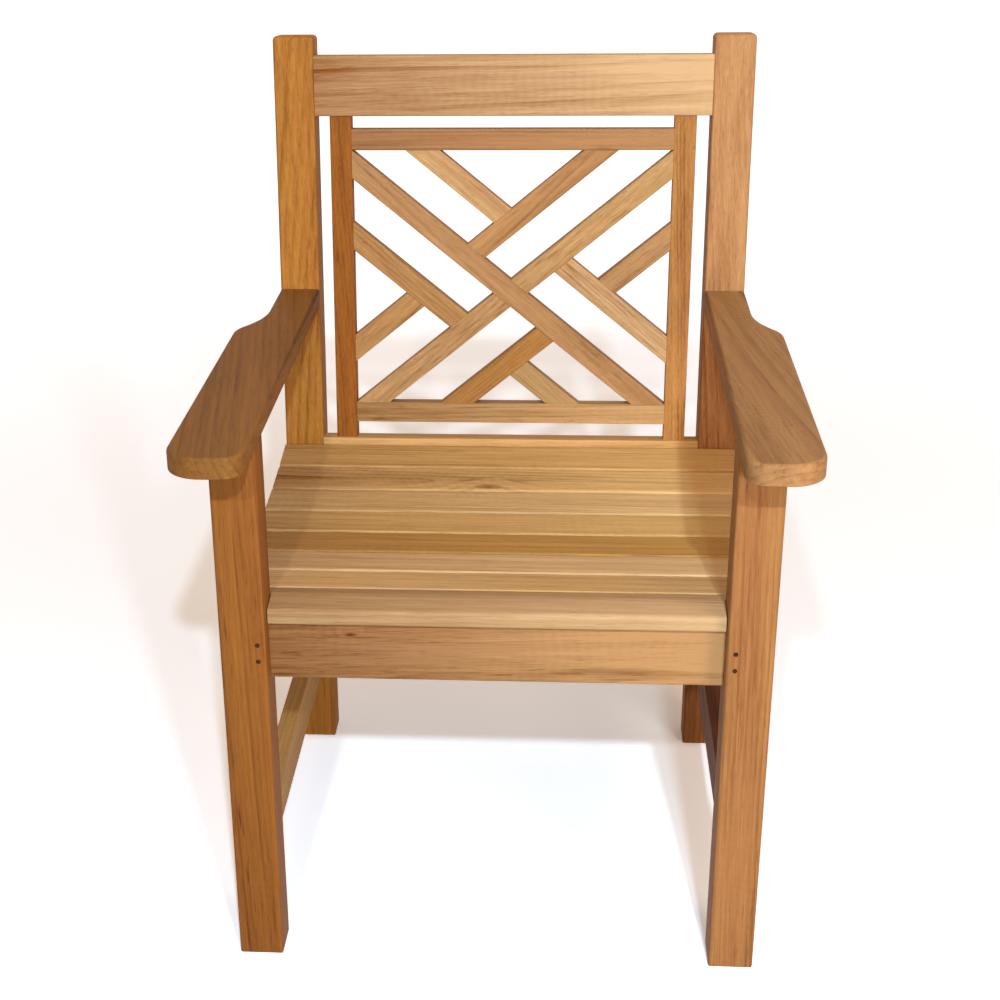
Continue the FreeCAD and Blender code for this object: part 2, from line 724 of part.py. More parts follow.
# Apron under the front slat
apron = board(
    "apron", "X", (f"2 * {inner_face}", "apron_thickness", "apron_height"),
    ("0", apron_middle_depth, f"{rail_bottom} + apron_height / 2"), "rail_arris",
)
apron_tenons = block(
    "apron_tenons",
    (f"2 * ({inner_face} + tenon_length)", "tenon_thickness", "apron_tenon_height"),
    ("0", apron_middle_depth, apron_peg_height),
)


def both_sides(places):
    """The same peg places on the right and the left of the chair."""
    flipped = []
    for (across, depth, height), axis, angle in places:
        turn = angle if axis.x else f"-1 * ({angle})"
        flipped.append(((f"-1 * ({across})", depth, height), axis, turn))
    return [*places, *flipped]


apron_cuts = [
    bearer_mortise("apron_bearer_mortise", apron_back),
    *peg_holes("apron_peg_hole", both_sides(FRONT_PEGS), front_peg_length),
]
piece("front_apron", apron, add=[apron_tenons], cut=apron_cuts)

# Side stretchers, low between leg and post
stretcher = board(
    "stretcher", "Y", ("stretcher_thickness", rail_run, "stretcher_height"),
    (leg_middle, "(leg_section + post_front) / 2", stretcher_peg_height), "rail_arris",
)
stretcher_tenons = block(
    "stretcher_tenons",
    ("tenon_thickness", f"{rail_run} + 2 * tenon_length", "stretcher_tenon_height"),
    (leg_middle, "(leg_section + post_front) / 2", stretcher_peg_height),
)
STRETCHER_PEGS = [LEG_SIDE_PEGS[2], POST_SIDE_PEGS[2]]
stretcher_peg_holes = peg_holes("stretcher_peg_hole", STRETCHER_PEGS, side_peg_length)
side_stretcher_right = piece(
    "side_stretcher_right", stretcher, add=[stretcher_tenons], cut=stretcher_peg_holes
)
mirrored("side_stretcher_left", side_stretcher_right)

# Rear seat rail: it stands a little above the slats, and its top edge is bevelled square to
# the leaning back, which sheds rain and seats the shoulders of the stiles
rear_rail = doc.addObject("PartDesign::Body", "rear_rail")
profile = new_sketch(rear_rail, "YZ_Plane", "rear_rail_profile")
thick, low, high = value("back_rail_thickness"), value(rear_rail_bottom), value(rear_rail_top)
bevel_drop = "(back_rail_thickness * tan(back_rake))"
under = line(profile, (0, low), (thick, low))
rear = line(profile, (thick, low), (thick, high - value(bevel_drop)))
bevel = line(profile, (thick, high - value(bevel_drop)), (0, high))
front = line(profile, (0, high), (0, low))
outline = [under, rear, bevel, front]
for here, following in zip(outline, outline[1:] + outline[:1]):
    tie(profile, "Coincident", here, 2, following, 1)
tie(profile, "Horizontal", under)
tie(profile, "Vertical", rear)
tie(profile, "Vertical", front)
tie(profile, "PointOnObject", under, 1, -2)
fix(profile, "thickness", "DistanceX", under, 1, under, 2, to="back_rail_thickness")
fix(profile, "bottom", "DistanceY", *ORIGIN, under, 1, to=rear_rail_bottom)
fix(profile, "top", "DistanceY", *ORIGIN, front, 1, to=rear_rail_top)
fix(profile, "bevel", "DistanceY", bevel, 1, bevel, 2, to=bevel_drop)
extrude(rear_rail, profile, f"2 * {inner_face}")
ease_edges(
    rear_rail, "rear_rail_arrises", "Fillet", "rail_arris",
    lambda edge: edge.BoundBox.XLength > value(inner_face),
)
place(rear_rail, ("0", "post_front", "0"))
rear_rail_tenons = block(
    "rear_rail_tenons",
    (f"2 * ({inner_face} + tenon_length)", "tenon_thickness", "rear_tenon_height"),
    ("0", "post_front + back_rail_thickness / 2", rear_rail_peg_middle),
)
stile_middle = f"({open_side} + fret_stile_width / 2)"
stile_size = ("fret_tenon_width + 2 * joint_clearance", "stub_thickness + 2 * joint_clearance")
stile_mortises = [
    leaning_block(
        f"rear_rail_stile_mortise_{side}",
        (*stile_size, "2 * (tenon_length + mortise_end_gap)"),
        (f"{sign} * {stile_middle}", fret_middle_depth, "rear_rail_rise"),
    )
    for side, sign in (("left", -1), ("right", 1))
]
rear_rail_cuts = [
    bearer_mortise("rear_rail_bearer_mortise", "post_front"),
    *stile_mortises,
    *peg_holes("rear_rail_peg_hole", both_sides(REAR_RAIL_PEGS), rear_peg_length),
]
piece("rear_seat_rail", rear_rail, add=[rear_rail_tenons], cut=rear_rail_cuts)

# Crest rail, on the back plane from here on
crest = board(
    "crest", "X", (f"2 * {inner_face}", "back_rail_thickness", "crest_height"),
    ("0", "back_rail_thickness / 2", crest_middle), "rail_arris",
)
crest_tenons = block(
    "crest_tenons",
    (f"2 * ({inner_face} + tenon_length)", "tenon_thickness", "crest_tenon_height"),
    ("0", "back_rail_thickness / 2", crest_middle),
)
crest_stile_mortises = [
    block(
        f"crest_stile_mortise_{side}",
        (*stile_size, "2 * (tenon_length + mortise_end_gap)"),
        (f"{sign} * {stile_middle}", fret_middle_depth, crest_bottom),
    )
    for side, sign in (("left", -1), ("right", 1))
]
FLAT_CREST_PEGS = [
    ((peg_across, "post_depth", height), Vector(1, 0, 0), "90") for height in peg_pair(crest_middle)
]
crest_cuts = [
    *crest_stile_mortises,
    *peg_holes("crest_peg_hole", both_sides(FLAT_CREST_PEGS), rear_peg_length),
]
piece("crest_rail", crest, add=[crest_tenons], cut=crest_cuts, leaning=True)

# The fret. A bar is one of three parallel lanes that rise to the right (slant 1) or fall to
# the right (slant -1), lane 1 above the long bar and lane -1 below it. Each bar ends square
# on the edge of the piece that stops it on its left and on its right.
LONG_FALL, LONG_RISE = "fret_long_bar_falling", "fret_long_bar_rising"
BARS = {
    LONG_FALL: (-1, 0, "left_stile", "bottom_rail"),
    LONG_RISE: (1, 0, "bottom_rail", "right_stile"),
    "fret_bar_top_left": (-1, 1, "top_rail", "fret_bar_top_right"),
    "fret_bar_top_right": (1, 1, LONG_FALL, "top_rail"),
    "fret_bar_left_upper": (-1, -1, "left_stile", LONG_RISE),
    "fret_bar_left_lower": (1, 1, "left_stile", "fret_bar_left_upper"),
    "fret_bar_right_upper": (1, -1, "fret_bar_right_lower", "right_stile"),
    "fret_bar_right_lower": (-1, 1, LONG_RISE, "right_stile"),
    "fret_bar_bottom_left": (1, -1, "bottom_rail", LONG_FALL),
    "fret_bar_bottom_right": (-1, -1, "fret_bar_bottom_left", "bottom_rail"),
}
FRAME_STOPS = {"left_stile": -1, "right_stile": 1, "bottom_rail": -1, "top_rail": 1}
bar_reach = f"(2 * {open_side} / cos({slope}))"


def bar_end(slant, lane, side, stop):
    """Where a bar's centre line meets the piece that stops it, and the saw cut beyond."""
    lane_rise = f"({lane} * {lane_pitch} / cos({slope}))"
    if stop in ("left_stile", "right_stile"):
        across = f"({FRAME_STOPS[stop]} * {open_side})"
        height = f"({cross_height} + {lane_rise} + {slant} * {across} * tan({slope}))"
        middle = (f"{across} + {FRAME_STOPS[stop]} * {bar_reach}", fret_middle_depth, height)
        return (across, height), middle, "90"
    if stop in ("top_rail", "bottom_rail"):
        height = open_top if stop == "top_rail" else open_bottom
        across = f"({slant} * ({height} - {cross_height} - {lane_rise}) / tan({slope}))"
        middle = (across, fret_middle_depth, f"{height} + {FRAME_STOPS[stop]} * {bar_reach}")
        return (across, height), middle, "0"
    other_lane = BARS[stop][1]
    cross_x = f"({slant} * ({other_lane} - {lane}) * {lane_pitch} / (2 * sin({slope})))"
    cross_z = f"({cross_height} + ({other_lane} + {lane}) * {lane_pitch} / (2 * cos({slope})))"
    short = f"({side} * fret_bar_width / (2 * sin(2 * {slope})))"
    end = (f"({cross_x} - {short} * cos({slope}))", f"({cross_z} - {slant} * {short} * sin({slope}))")
    beyond = f"({side} * ({bar_reach} - fret_bar_width / 2))"
    middle = (
        f"{cross_x} + {beyond} * sin({slope})",
        fret_middle_depth,
        f"{cross_z} + {slant} * {beyond} * cos({slope})",
    )
    return end, middle, f"({slant} * {slope})"


def stub(name, end, slant, side, spare):
    """The stub tenon at a bar's end, or with spare room its mortise."""
    length = f"(stub_length + tenon_root + {spare} * mortise_end_gap)"
    room = f"(2 * {spare} * joint_clearance)"
    offset = f"({side} * ({length} / 2 - tenon_root))"
    middle = (
        f"{end[0]} + {offset} * cos({slope})",
        fret_middle_depth,
        f"{end[1]} + {slant} * {offset} * sin({slope})",
    )
    size = (length, f"stub_thickness + {room}", f"stub_width + {room}")
    return block(name, size, middle, "Y", f"(-1 * {slant} * {slope})")


bar_trims, bar_stubs = {}, {}
sockets = {}
for name, (slant, lane, *stops) in BARS.items():
    bar_trims[name], bar_stubs[name] = [], []
    for side, stop in zip((-1, 1), stops):
        hand = "left" if side < 0 else "right"
        end, beyond, turn = bar_end(slant, lane, side, stop)
        saw_size = (f"4 * {bar_reach}", "2 * fret_thickness", f"2 * {bar_reach}")
        bar_trims[name].append(block(f"{name}_saw_{hand}", saw_size, beyond, "Y", turn))
        bar_stubs[name].append(stub(f"{name}_stub_{hand}", end, slant, side, 0))
        sockets.setdefault(stop, []).append(stub(f"{name}_socket_{hand}", end, slant, side, 1))

# Where the long bars cross, each loses half its thickness: the falling bar at the back, the
# rising bar at the front, so that the falling bar runs unbroken across the front
lap_size = ("2 * fret_bar_width", "fret_thickness", "fret_bar_width + 2 * joint_clearance")
lap_back = f"({fret_middle_depth} + fret_thickness / 2)"
lap_front = f"({fret_middle_depth} - fret_thickness / 2)"
sockets[LONG_FALL].append(
    block("half_lap_back", lap_size, ("0", lap_back, cross_height), "Y", f"(-1 * {slope})")
)
sockets[LONG_RISE].append(block("half_lap_front", lap_size, ("0", lap_front, cross_height), "Y", slope))

for name, (slant, lane, *stops) in BARS.items():
    off_line = f"({lane} * {lane_pitch})"
    middle = (
        f"-1 * {slant} * {off_line} * sin({slope})",
        fret_middle_depth,
        f"{cross_height} + {off_line} * cos({slope})",
    )
    size = (f"2 * {bar_reach}", "fret_thickness", "fret_bar_width")
    turn = f"-1 * {slant} * {slope}"
    bar = board(name + "_board", "X", size, middle, "fret_arris", Vector(0, 1, 0), turn)
    piece(name, bar, trim=bar_trims[name], add=bar_stubs[name], cut=sockets.get(name, []), leaning=True)

# Fret rails, tenoned between the stiles
for name, middle_height in (
    ("top_rail", f"({open_top} + fret_rail_width / 2)"),
    ("bottom_rail", f"({open_bottom} - fret_rail_width / 2)"),
):
    rail = board(
        f"fret_{name}_board", "X", (f"2 * {open_side}", "fret_thickness", "fret_rail_width"),
        ("0", fret_middle_depth, middle_height), "fret_arris",
    )
    tenons = block(
        f"fret_{name}_tenons",
        (f"2 * ({open_side} + tenon_length)", "stub_thickness", "fret_tenon_width"),
        ("0", fret_middle_depth, middle_height),
    )
    piece(f"fret_{name}", rail, add=[tenons], cut=sockets[name], leaning=True)
    for stile, sign in (("left_stile", -1), ("right_stile", 1)):
        sockets[stile].append(block(
            f"{stile}_{name}_mortise",
            (f"2 * {mortise_depth}", "stub_thickness + 2 * joint_clearance",
             "fret_tenon_width + 2 * joint_clearance"),
            (f"{sign} * {open_side}", fret_middle_depth, middle_height),
        ))

# Fret stiles, tenoned into the crest rail and the rear seat rail
stile_length = f"({crest_bottom} - rear_rail_rise)"
for stile, sign in (("left", -1), ("right", 1)):
    across = f"({sign} * {stile_middle})"
    middle = (across, fret_middle_depth, f"({crest_bottom} + rear_rail_rise) / 2")
    board_size = ("fret_stile_width", "fret_thickness", stile_length)
    upright = board(f"fret_stile_{stile}_board", "Z", board_size, middle, "fret_arris")
    tenon_size = ("fret_tenon_width", "stub_thickness", f"{stile_length} + 2 * tenon_length")
    tenons = block(f"fret_stile_{stile}_tenons", tenon_size, middle)
    piece(f"fret_stile_{stile}", upright, add=[tenons], cut=sockets[f"{stile}_stile"], leaning=True)

# Armrests: flat boards, as wide as the post behind, that swell on the outer side through a
# hollow and a shoulder, and end in a broad rounded nose in front of the leg
arm = doc.addObject("PartDesign::Body", "armrest")
outline = new_sketch(arm, "XY_Plane", "armrest_outline")
neck, wide = value("leg_section"), value("leg_section + arm_side_overhang")
front, back = value("-arm_nose_overhang"), value(f"{arm_meets_post} + cut_overrun")
r_in, r_out = value("arm_nose_inner_radius"), value("arm_nose_outer_radius")
r_hollow, r_shoulder = value("arm_hollow_radius"), value("arm_shoulder_radius")
swell = "acos(1 - arm_side_overhang / (arm_hollow_radius + arm_shoulder_radius))"
turn = value(swell)
hollow_start = "(post_front - arm_neck_length)"
y_hollow = value(hollow_start)
y_shoulder = value(f"{hollow_start} - (arm_hollow_radius + arm_shoulder_radius) * sin({swell})")
inner_edge = line(outline, (0, back), (0, front + r_in))
nose_inner = arc(outline, (r_in, front + r_in), r_in, 180, 270)
nose_edge = line(outline, (r_in, front), (wide - r_out, front))
nose_outer = arc(outline, (wide - r_out, front + r_out), r_out, 270, 360)
outer_edge = line(outline, (wide, front + r_out), (wide, y_shoulder))
shoulder = arc(outline, (wide - r_shoulder, y_shoulder), r_shoulder, 0, turn)
hollow = arc(outline, (neck + r_hollow, y_hollow), r_hollow, 180, 180 + turn)
neck_edge = line(outline, (neck, y_hollow), (neck, back))
rear_edge = line(outline, (neck, back), (0, back))
tie(outline, "Tangent", inner_edge, 2, nose_inner, 1)
tie(outline, "Tangent", nose_inner, 2, nose_edge, 1)
tie(outline, "Tangent", nose_edge, 2, nose_outer, 1)
tie(outline, "Tangent", nose_outer, 2, outer_edge, 1)
tie(outline, "Tangent", outer_edge, 2, shoulder, 1)
tie(outline, "Tangent", shoulder, 2, hollow, 2)
tie(outline, "Tangent", hollow, 1, neck_edge, 1)
tie(outline, "Coincident", neck_edge, 2, rear_edge, 1)
tie(outline, "Coincident", rear_edge, 2, inner_edge, 1)
for upright in (inner_edge, outer_edge, neck_edge):
    tie(outline, "Vertical", upright)
for level in (nose_edge, rear_edge):
    tie(outline, "Horizontal", level)
tie(outline, "PointOnObject", inner_edge, 1, -2)
fix(outline, "nose_inner", "Radius", nose_inner, to="arm_nose_inner_radius")
fix(outline, "nose_outer", "Radius", nose_outer, to="arm_nose_outer_radius")
fix(outline, "shoulder", "Radius", shoulder, to="arm_shoulder_radius")
fix(outline, "hollow", "Radius", hollow, to="arm_hollow_radius")
fix(outline, "neck", "DistanceX", *ORIGIN, neck_edge, 1, to="leg_section")
fix(outline, "width", "DistanceX", *ORIGIN, outer_edge, 1, to="leg_section + arm_side_overhang")
fix(outline, "overhang", "DistanceY", nose_edge, 1, *ORIGIN, to="arm_nose_overhang")
fix(outline, "neck_start", "DistanceY", *ORIGIN, neck_edge, 1, to=hollow_start)
fix(outline, "back", "DistanceY", *ORIGIN, rear_edge, 1, to=f"{arm_meets_post} + cut_overrun")
extrude(arm, outline, "arm_thickness")


def around_face(side):
    """Test for the edges round the top (side 1) or the bottom (side -1) of the armrest."""
    edge_of = value("arm_thickness") / 2
    return lambda edge: min(side * edge.BoundBox.ZMin, side * edge.BoundBox.ZMax) > edge_of / 2


ease_edges(arm, "armrest_top_round", "Fillet", "arm_top_round", around_face(1))
ease_edges(arm, "armrest_bottom_bevel", "Chamfer", "arm_bottom_chamfer", around_face(-1))
place(arm, (inner_face, "0", arm_middle))
behind_post_face = leaning_block(
    "arm_rear_saw",
    ("4 * leg_section", "4 * cut_overrun", f"2 * {post_top}"),
    (leg_middle, "2 * cut_overrun", "0"),
)
arm_tenon = block(
    "arm_tenon",
    ("arm_tenon_width", "tenon_length + tenon_root", "tenon_thickness"),
    (leg_middle, f"{arm_meets_post} + (tenon_length - tenon_root) / 2", arm_middle),
)
leg_socket = block(
    "arm_leg_socket",
    ("leg_tenon_side + 2 * joint_clearance", "leg_tenon_side + 2 * joint_clearance",
     "2 * (leg_tenon_height + mortise_end_gap)"),
    (leg_middle, "leg_section / 2", arm_underside),
)
armrest_right = piece("armrest_right", arm, trim=[behind_post_face], add=[arm_tenon], cut=[leg_socket])
mirrored("armrest_left", armrest_right)


# Pegs
def set_back_rods(name, places, length):
    """Pegs in both sides of the chair, each standing in its hole."""
    pegs = []
    for number, ((across, depth, height), axis, angle) in enumerate(both_sides(places), start=1):
        start = (across, f"{depth} + {set_back}", height)
        pegs.append(peg(f"{name}_{number}", "peg_thickness", start, axis, angle, length))
    return pegs


SIDE_RAIL_PEGS = LEG_SIDE_PEGS[:2] + POST_SIDE_PEGS[:2]
group("apron_pegs", set_back_rods("apron_peg", FRONT_PEGS, front_peg_length))
group("side_rail_pegs", set_back_rods("side_rail_peg", SIDE_RAIL_PEGS, side_peg_length))
group("stretcher_pegs", set_back_rods("stretcher_peg", STRETCHER_PEGS, side_peg_length))
group("rear_rail_pegs", set_back_rods("rear_rail_peg", REAR_RAIL_PEGS, rear_peg_length))
group("crest_rail_pegs", set_back_rods("crest_rail_peg", CREST_PEGS, rear_peg_length))

doc.recompute()

for thing in doc.Objects:
    if "Invalid" in thing.State or "Error" in thing.State:
        raise RuntimeError(f"{thing.Label} failed: {thing.State}")
os.makedirs("parts", exist_ok=True)
for thing in NODES:
    shape = thing.Shape
    if shape.isNull() or not shape.isValid() or not shape.Solids:
        raise RuntimeError(f"{thing.Label} has no valid solid")
    shape.exportStep(f"parts/{thing.Label}.step")
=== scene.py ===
import bmesh
import bpy
import json
import math
from mathutils import Euler, Matrix, Vector

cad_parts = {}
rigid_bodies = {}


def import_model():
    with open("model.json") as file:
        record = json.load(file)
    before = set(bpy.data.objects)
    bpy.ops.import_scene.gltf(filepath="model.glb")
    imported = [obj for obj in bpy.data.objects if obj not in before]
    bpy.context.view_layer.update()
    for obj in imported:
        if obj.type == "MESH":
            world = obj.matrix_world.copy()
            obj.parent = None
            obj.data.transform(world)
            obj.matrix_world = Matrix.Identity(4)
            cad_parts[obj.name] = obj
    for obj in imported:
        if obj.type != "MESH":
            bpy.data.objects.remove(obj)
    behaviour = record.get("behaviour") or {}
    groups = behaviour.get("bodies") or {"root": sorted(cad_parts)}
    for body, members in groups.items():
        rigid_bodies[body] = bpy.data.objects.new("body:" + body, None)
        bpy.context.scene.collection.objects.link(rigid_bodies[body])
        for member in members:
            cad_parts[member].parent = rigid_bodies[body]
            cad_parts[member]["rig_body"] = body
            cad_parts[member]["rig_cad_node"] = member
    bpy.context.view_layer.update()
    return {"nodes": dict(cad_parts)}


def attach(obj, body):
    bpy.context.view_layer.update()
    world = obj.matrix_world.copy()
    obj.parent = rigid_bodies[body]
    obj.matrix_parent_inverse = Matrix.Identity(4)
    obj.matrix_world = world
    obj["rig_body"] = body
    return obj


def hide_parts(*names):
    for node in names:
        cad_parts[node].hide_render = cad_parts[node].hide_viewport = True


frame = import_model()


# ---------------------------------------------------------------- front legs
# Two square teak legs, sawn from heartwood, planed on four sides and eased along their
# edges. A tenon on top goes up into the arm, and the feet stand on bare end grain.
def tone(red, green, blue):
    """A paint-chart colour, 0 to 255, as the light it gives back."""
    levels = [c / 255 for c in (red, green, blue)]
    return (*[c / 12.92 if c <= 0.04045 else ((c + 0.055) / 1.055) ** 2.4 for c in levels], 1)


def teak_figure():
    """The figure of teak at a place in the log: metres, X up the trunk, X axis at the pith."""
    group = bpy.data.node_groups.new("teak_figure", "ShaderNodeTree")
    for name, kind in (("Place", "Vector"), ("Ring Width", "Float"), ("Ripple", "Float"),
                       ("Painted Light Slope", "Float"), ("Flecks", "Float"), ("Knot", "Vector"),
                       ("Knot Size", "Float"), ("Pale", "Color"), ("Dark", "Color")):
        group.interface.new_socket(name, in_out="INPUT", socket_type="NodeSocket" + kind)
    for name, kind in (("Colour", "Color"), ("Height", "Float")):
        group.interface.new_socket(name, in_out="OUTPUT", socket_type="NodeSocket" + kind)
    log = group.nodes.new("NodeGroupInput").outputs

    def node(kind, *given, **settings):
        made = group.nodes.new("ShaderNode" + kind)
        for name, setting in settings.items():
            setattr(made, name, setting)
        for socket, value in zip(made.inputs, given):
            if isinstance(value, bpy.types.NodeSocket):
                group.links.new(value, socket)
            elif value is not None:
                socket.default_value = value
        return made.outputs

    def math_of(operation, *given):
        return node("Math", *given, operation=operation)[0]

    def vector_of(operation, *given):
        return node("VectorMath", *given, operation=operation)[0]

    def noise(stretch, detail=2.0, rough=0.55):
        place = vector_of("MULTIPLY", log["Place"], stretch)
        return node("TexNoise", place, None, 1.0, detail, rough)

    def between(value, low, high, to_low, to_high):
        return node("MapRange", value, low, high, to_low, to_high)[0]

    # The trunk wanders, so no ring is quite straight
    wander = vector_of("SUBTRACT", noise((1.6, 11, 11))["Color"], (0.5, 0.5, 0.5))
    wander = vector_of("MULTIPLY", wander, (0, 0.016, 0.016))
    across = vector_of("MULTIPLY", vector_of("ADD", log["Place"], wander), (0, 1, 1))
    from_pith = node("VectorMath", across, operation="LENGTH")["Value"]
    rings = math_of("DIVIDE", from_pith, log["Ring Width"])
    # The rings swing wide round a knot, and its heart is dark
    to_knot = vector_of("SUBTRACT", log["Place"], log["Knot"])
    to_knot = vector_of("MULTIPLY", to_knot, (0.4, 1, 1))
    to_knot = math_of("DIVIDE", node("VectorMath", to_knot, operation="LENGTH")["Value"],
                      log["Knot Size"])
    squared = math_of("MULTIPLY", to_knot, to_knot)
    bulge = math_of("POWER", math.e, math_of("MULTIPLY", squared, -0.4))
    rings = math_of("MULTIPLY_ADD", bulge, 2.6, rings)
    heart = between(to_knot, 0.15, 0.75, 1.0, 0.0)
    in_ring = math_of("FRACT", rings)
    year = node("TexWhiteNoise", None, math_of("FLOOR", rings), noise_dimensions="1D")["Value"]
    late_wood = group.nodes.new("ShaderNodeValToRGB")
    marks = late_wood.color_ramp.elements
    marks[0].position, marks[0].color = 0.0, (0.25, 0.25, 0.25, 1)
    marks[1].position, marks[1].color = 1.0, (0.25, 0.25, 0.25, 1)
    for position, level in ((0.12, 0.02), (0.45, 0.12), (0.8, 0.75), (0.93, 1.0)):
        marks.new(position).color = (level, level, level, 1)
    group.links.new(in_ring, late_wood.inputs[0])
    ring_line = math_of("MULTIPLY", late_wood.outputs[0], between(year, 0, 1, 0.15, 1.0))
    faint = between(noise((6, 55, 55), 3.0, 0.6)["Fac"], 0.40, 0.62, 0.3, 1.0)
    ring_line = math_of("MULTIPLY", ring_line, faint)

    # Mineral streaks, fibres and the open pores of the early wood
    cloud = math_of("SUBTRACT", noise((0.9, 17, 17), 3.0, 0.6)["Fac"], 0.5)
    streak = math_of("SUBTRACT", noise((3.0, 130, 130), 3.0, 0.6)["Fac"], 0.5)
    fibre = math_of("SUBTRACT", noise((16, 780, 780), 2.0, 0.6)["Fac"], 0.5)
    fleck = between(noise((24, 330, 330), 2.0, 0.5)["Fac"], 0.58, 0.72, 0.0, 1.0)
    in_patches = between(noise((3, 40, 40), 1.0)["Fac"], 0.4, 0.6, 0.15, 1.0)
    fleck = math_of("MULTIPLY", fleck, in_patches)
    pore = between(noise((55, 1500, 1500), 1.0, 0.5)["Fac"], 0.60, 0.72, 0.0, 1.0)
    pore = math_of("MULTIPLY", pore, between(in_ring, 0.0, 0.9, 1.0, 0.25))

    # Ripple: bands of curly grain across the board, here and there
    band_step = 0.0115
    bands = node("SeparateXYZ", vector_of("ADD", log["Place"], vector_of(
        "MULTIPLY", noise((3, 22, 22))["Color"], (0.045, 0, 0))))["X"]
    bands = math_of("SINE", math_of("MULTIPLY", bands, 2 * math.pi / band_step))
    curly = between(noise((4.5, 9, 9), 1.0)["Fac"], 0.48, 0.66, 0.0, 1.0)
    ripple = math_of("MULTIPLY", math_of("MULTIPLY", bands, curly), log["Ripple"])

    shade = math_of("MULTIPLY_ADD", ring_line, 0.60, 0.22)
    shade = math_of("MULTIPLY_ADD", cloud, 1.1, shade)
    shade = math_of("MULTIPLY_ADD", streak, 0.9, shade)
    shade = math_of("MULTIPLY_ADD", fibre, 0.75, shade)
    shade = math_of("MULTIPLY_ADD", fleck, log["Flecks"], shade)
    shade = math_of("MULTIPLY_ADD", heart, 0.75, shade)
    shade = math_of("ADD", shade, ripple)
    # Painted light: the shade slopes along the log's X by the Painted Light Slope, so a board
    # is painted paler at the end where more light falls and darker at the other
    height = node("SeparateXYZ", log["Place"])["X"]
    shade = math_of("MULTIPLY_ADD", height, log["Painted Light Slope"], shade)
    shade = node("Clamp", math_of("MULTIPLY_ADD", pore, 0.42, shade), -0.12, 1.25)[0]
    mix = group.nodes.new("ShaderNodeMix")
    mix.data_type, mix.clamp_factor = "RGBA", False
    group.links.new(shade, mix.inputs["Factor"])
    group.links.new(log["Pale"], mix.inputs[6])
    group.links.new(log["Dark"], mix.inputs[7])
    # Heartwood is golden in one streak and redder in the next
    hue = between(noise((1.3, 34, 34), 2.0, 0.5)["Fac"], 0.3, 0.7, 0.4965, 0.5055)
    tint = node("HueSaturation", hue, 1.0, 1.0, 1.0, mix.outputs[2])["Color"]
    out = group.nodes.new("NodeGroupOutput")
    group.links.new(tint, out.inputs["Colour"])
    relief = math_of("MULTIPLY_ADD", fibre, 0.5, math_of("MULTIPLY", pore, -0.8))
    group.links.new(relief, out.inputs["Height"])
    return group


teak_log = teak_figure()
GRAIN_TURN = {"X": (0, 0, 0), "Y": (0, 0, -90), "Z": (0, 90, 0)}
NO_KNOT = ((9, 9, 9), 0.01)     # far outside the chair


def teak(name, grain, sawn_at, pale, dark, ring_width=0.0055, ripple=0.02, tilt=(0, 0, 0),
         painted_light_slope=0.0, flecks=0.2, knot=NO_KNOT):
    """One board's wood. sawn_at is its place in the log, tilt how far the saw strayed from
    the grain, in degrees, painted_light_slope how much darker the wood is painted per metre
    along the log's X, a painted light and shade that slope along the board, flecks how
    plain its dark flecks are, and knot a place in the chair and a size."""
    wood = bpy.data.materials.new(name)
    wood.use_nodes = True
    nodes, link = wood.node_tree.nodes, wood.node_tree.links.new
    shader = nodes["Principled BSDF"]
    shader.inputs["Roughness"].default_value = 0.65
    shader.inputs["Specular IOR Level"].default_value = 0.16
    where = nodes.new("ShaderNodeTexCoord")
    sawn = nodes.new("ShaderNodeMapping")
    sawn.inputs["Rotation"].default_value = [
        math.radians(turn + stray) for turn, stray in zip(GRAIN_TURN[grain], tilt)]
    sawn.inputs["Location"].default_value = sawn_at
    figure = nodes.new("ShaderNodeGroup")
    figure.node_tree = teak_log
    figure.inputs["Ring Width"].default_value = ring_width
    figure.inputs["Ripple"].default_value = ripple
    figure.inputs["Painted Light Slope"].default_value = painted_light_slope
    figure.inputs["Flecks"].default_value = flecks
    in_log = Euler(sawn.inputs["Rotation"].default_value).to_matrix() @ Vector(knot[0])
    figure.inputs["Knot"].default_value = in_log + Vector(sawn_at)
    figure.inputs["Knot Size"].default_value = knot[1]
    figure.inputs["Pale"].default_value = tone(*pale)
    figure.inputs["Dark"].default_value = tone(*dark)
    relief = nodes.new("ShaderNodeBump")
    relief.inputs["Strength"].default_value = 0.25
    relief.inputs["Distance"].default_value = 0.0004
    link(where.outputs["Object"], sawn.inputs["Vector"])
    link(sawn.outputs[0], figure.inputs["Place"])
    link(figure.outputs["Colour"], shader.inputs["Base Color"])
    link(figure.outputs["Height"], relief.inputs["Height"])
    link(relief.outputs[0], shader.inputs["Normal"])
    return wood


def board(name, rings, arris, eased=(1, 0, 0)):
    """A board through rings of corners, anticlockwise seen from its far end. eased says how
    much of the arris its long edges, its first end and its last end get."""
    count = len(rings[0])
    last = len(rings) - 1
    faces = [tuple(range(count))[::-1], tuple(range(last * count, last * count + count))]
    for level in range(last):
        for a in range(count):
            b = (a + 1) % count
            faces.append((level * count + a, level * count + b,
                          level * count + b + count, level * count + a + count))
    mesh = bpy.data.meshes.new(name)
    mesh.from_pydata([corner for ring in rings for corner in ring], [], faces)
    mesh.shade_smooth()
    mesh.set_sharp_from_angle(angle=math.radians(25))
    weights = mesh.attributes.new("bevel_weight_edge", "FLOAT", "EDGE")
    for edge in mesh.edges:
        low, high = sorted(corner // count for corner in edge.vertices)
        share = eased[0] if high > low else {0: eased[1], last: eased[2]}.get(low, 0)
        weights.data[edge.index].value = share
    piece = bpy.data.objects.new(name, mesh)
    bpy.context.scene.collection.objects.link(piece)
    plane = piece.modifiers.new("arris", "BEVEL")
    plane.limit_method, plane.width, plane.segments = "WEIGHT", arris, 4
    plane.harden_normals = True
    return piece


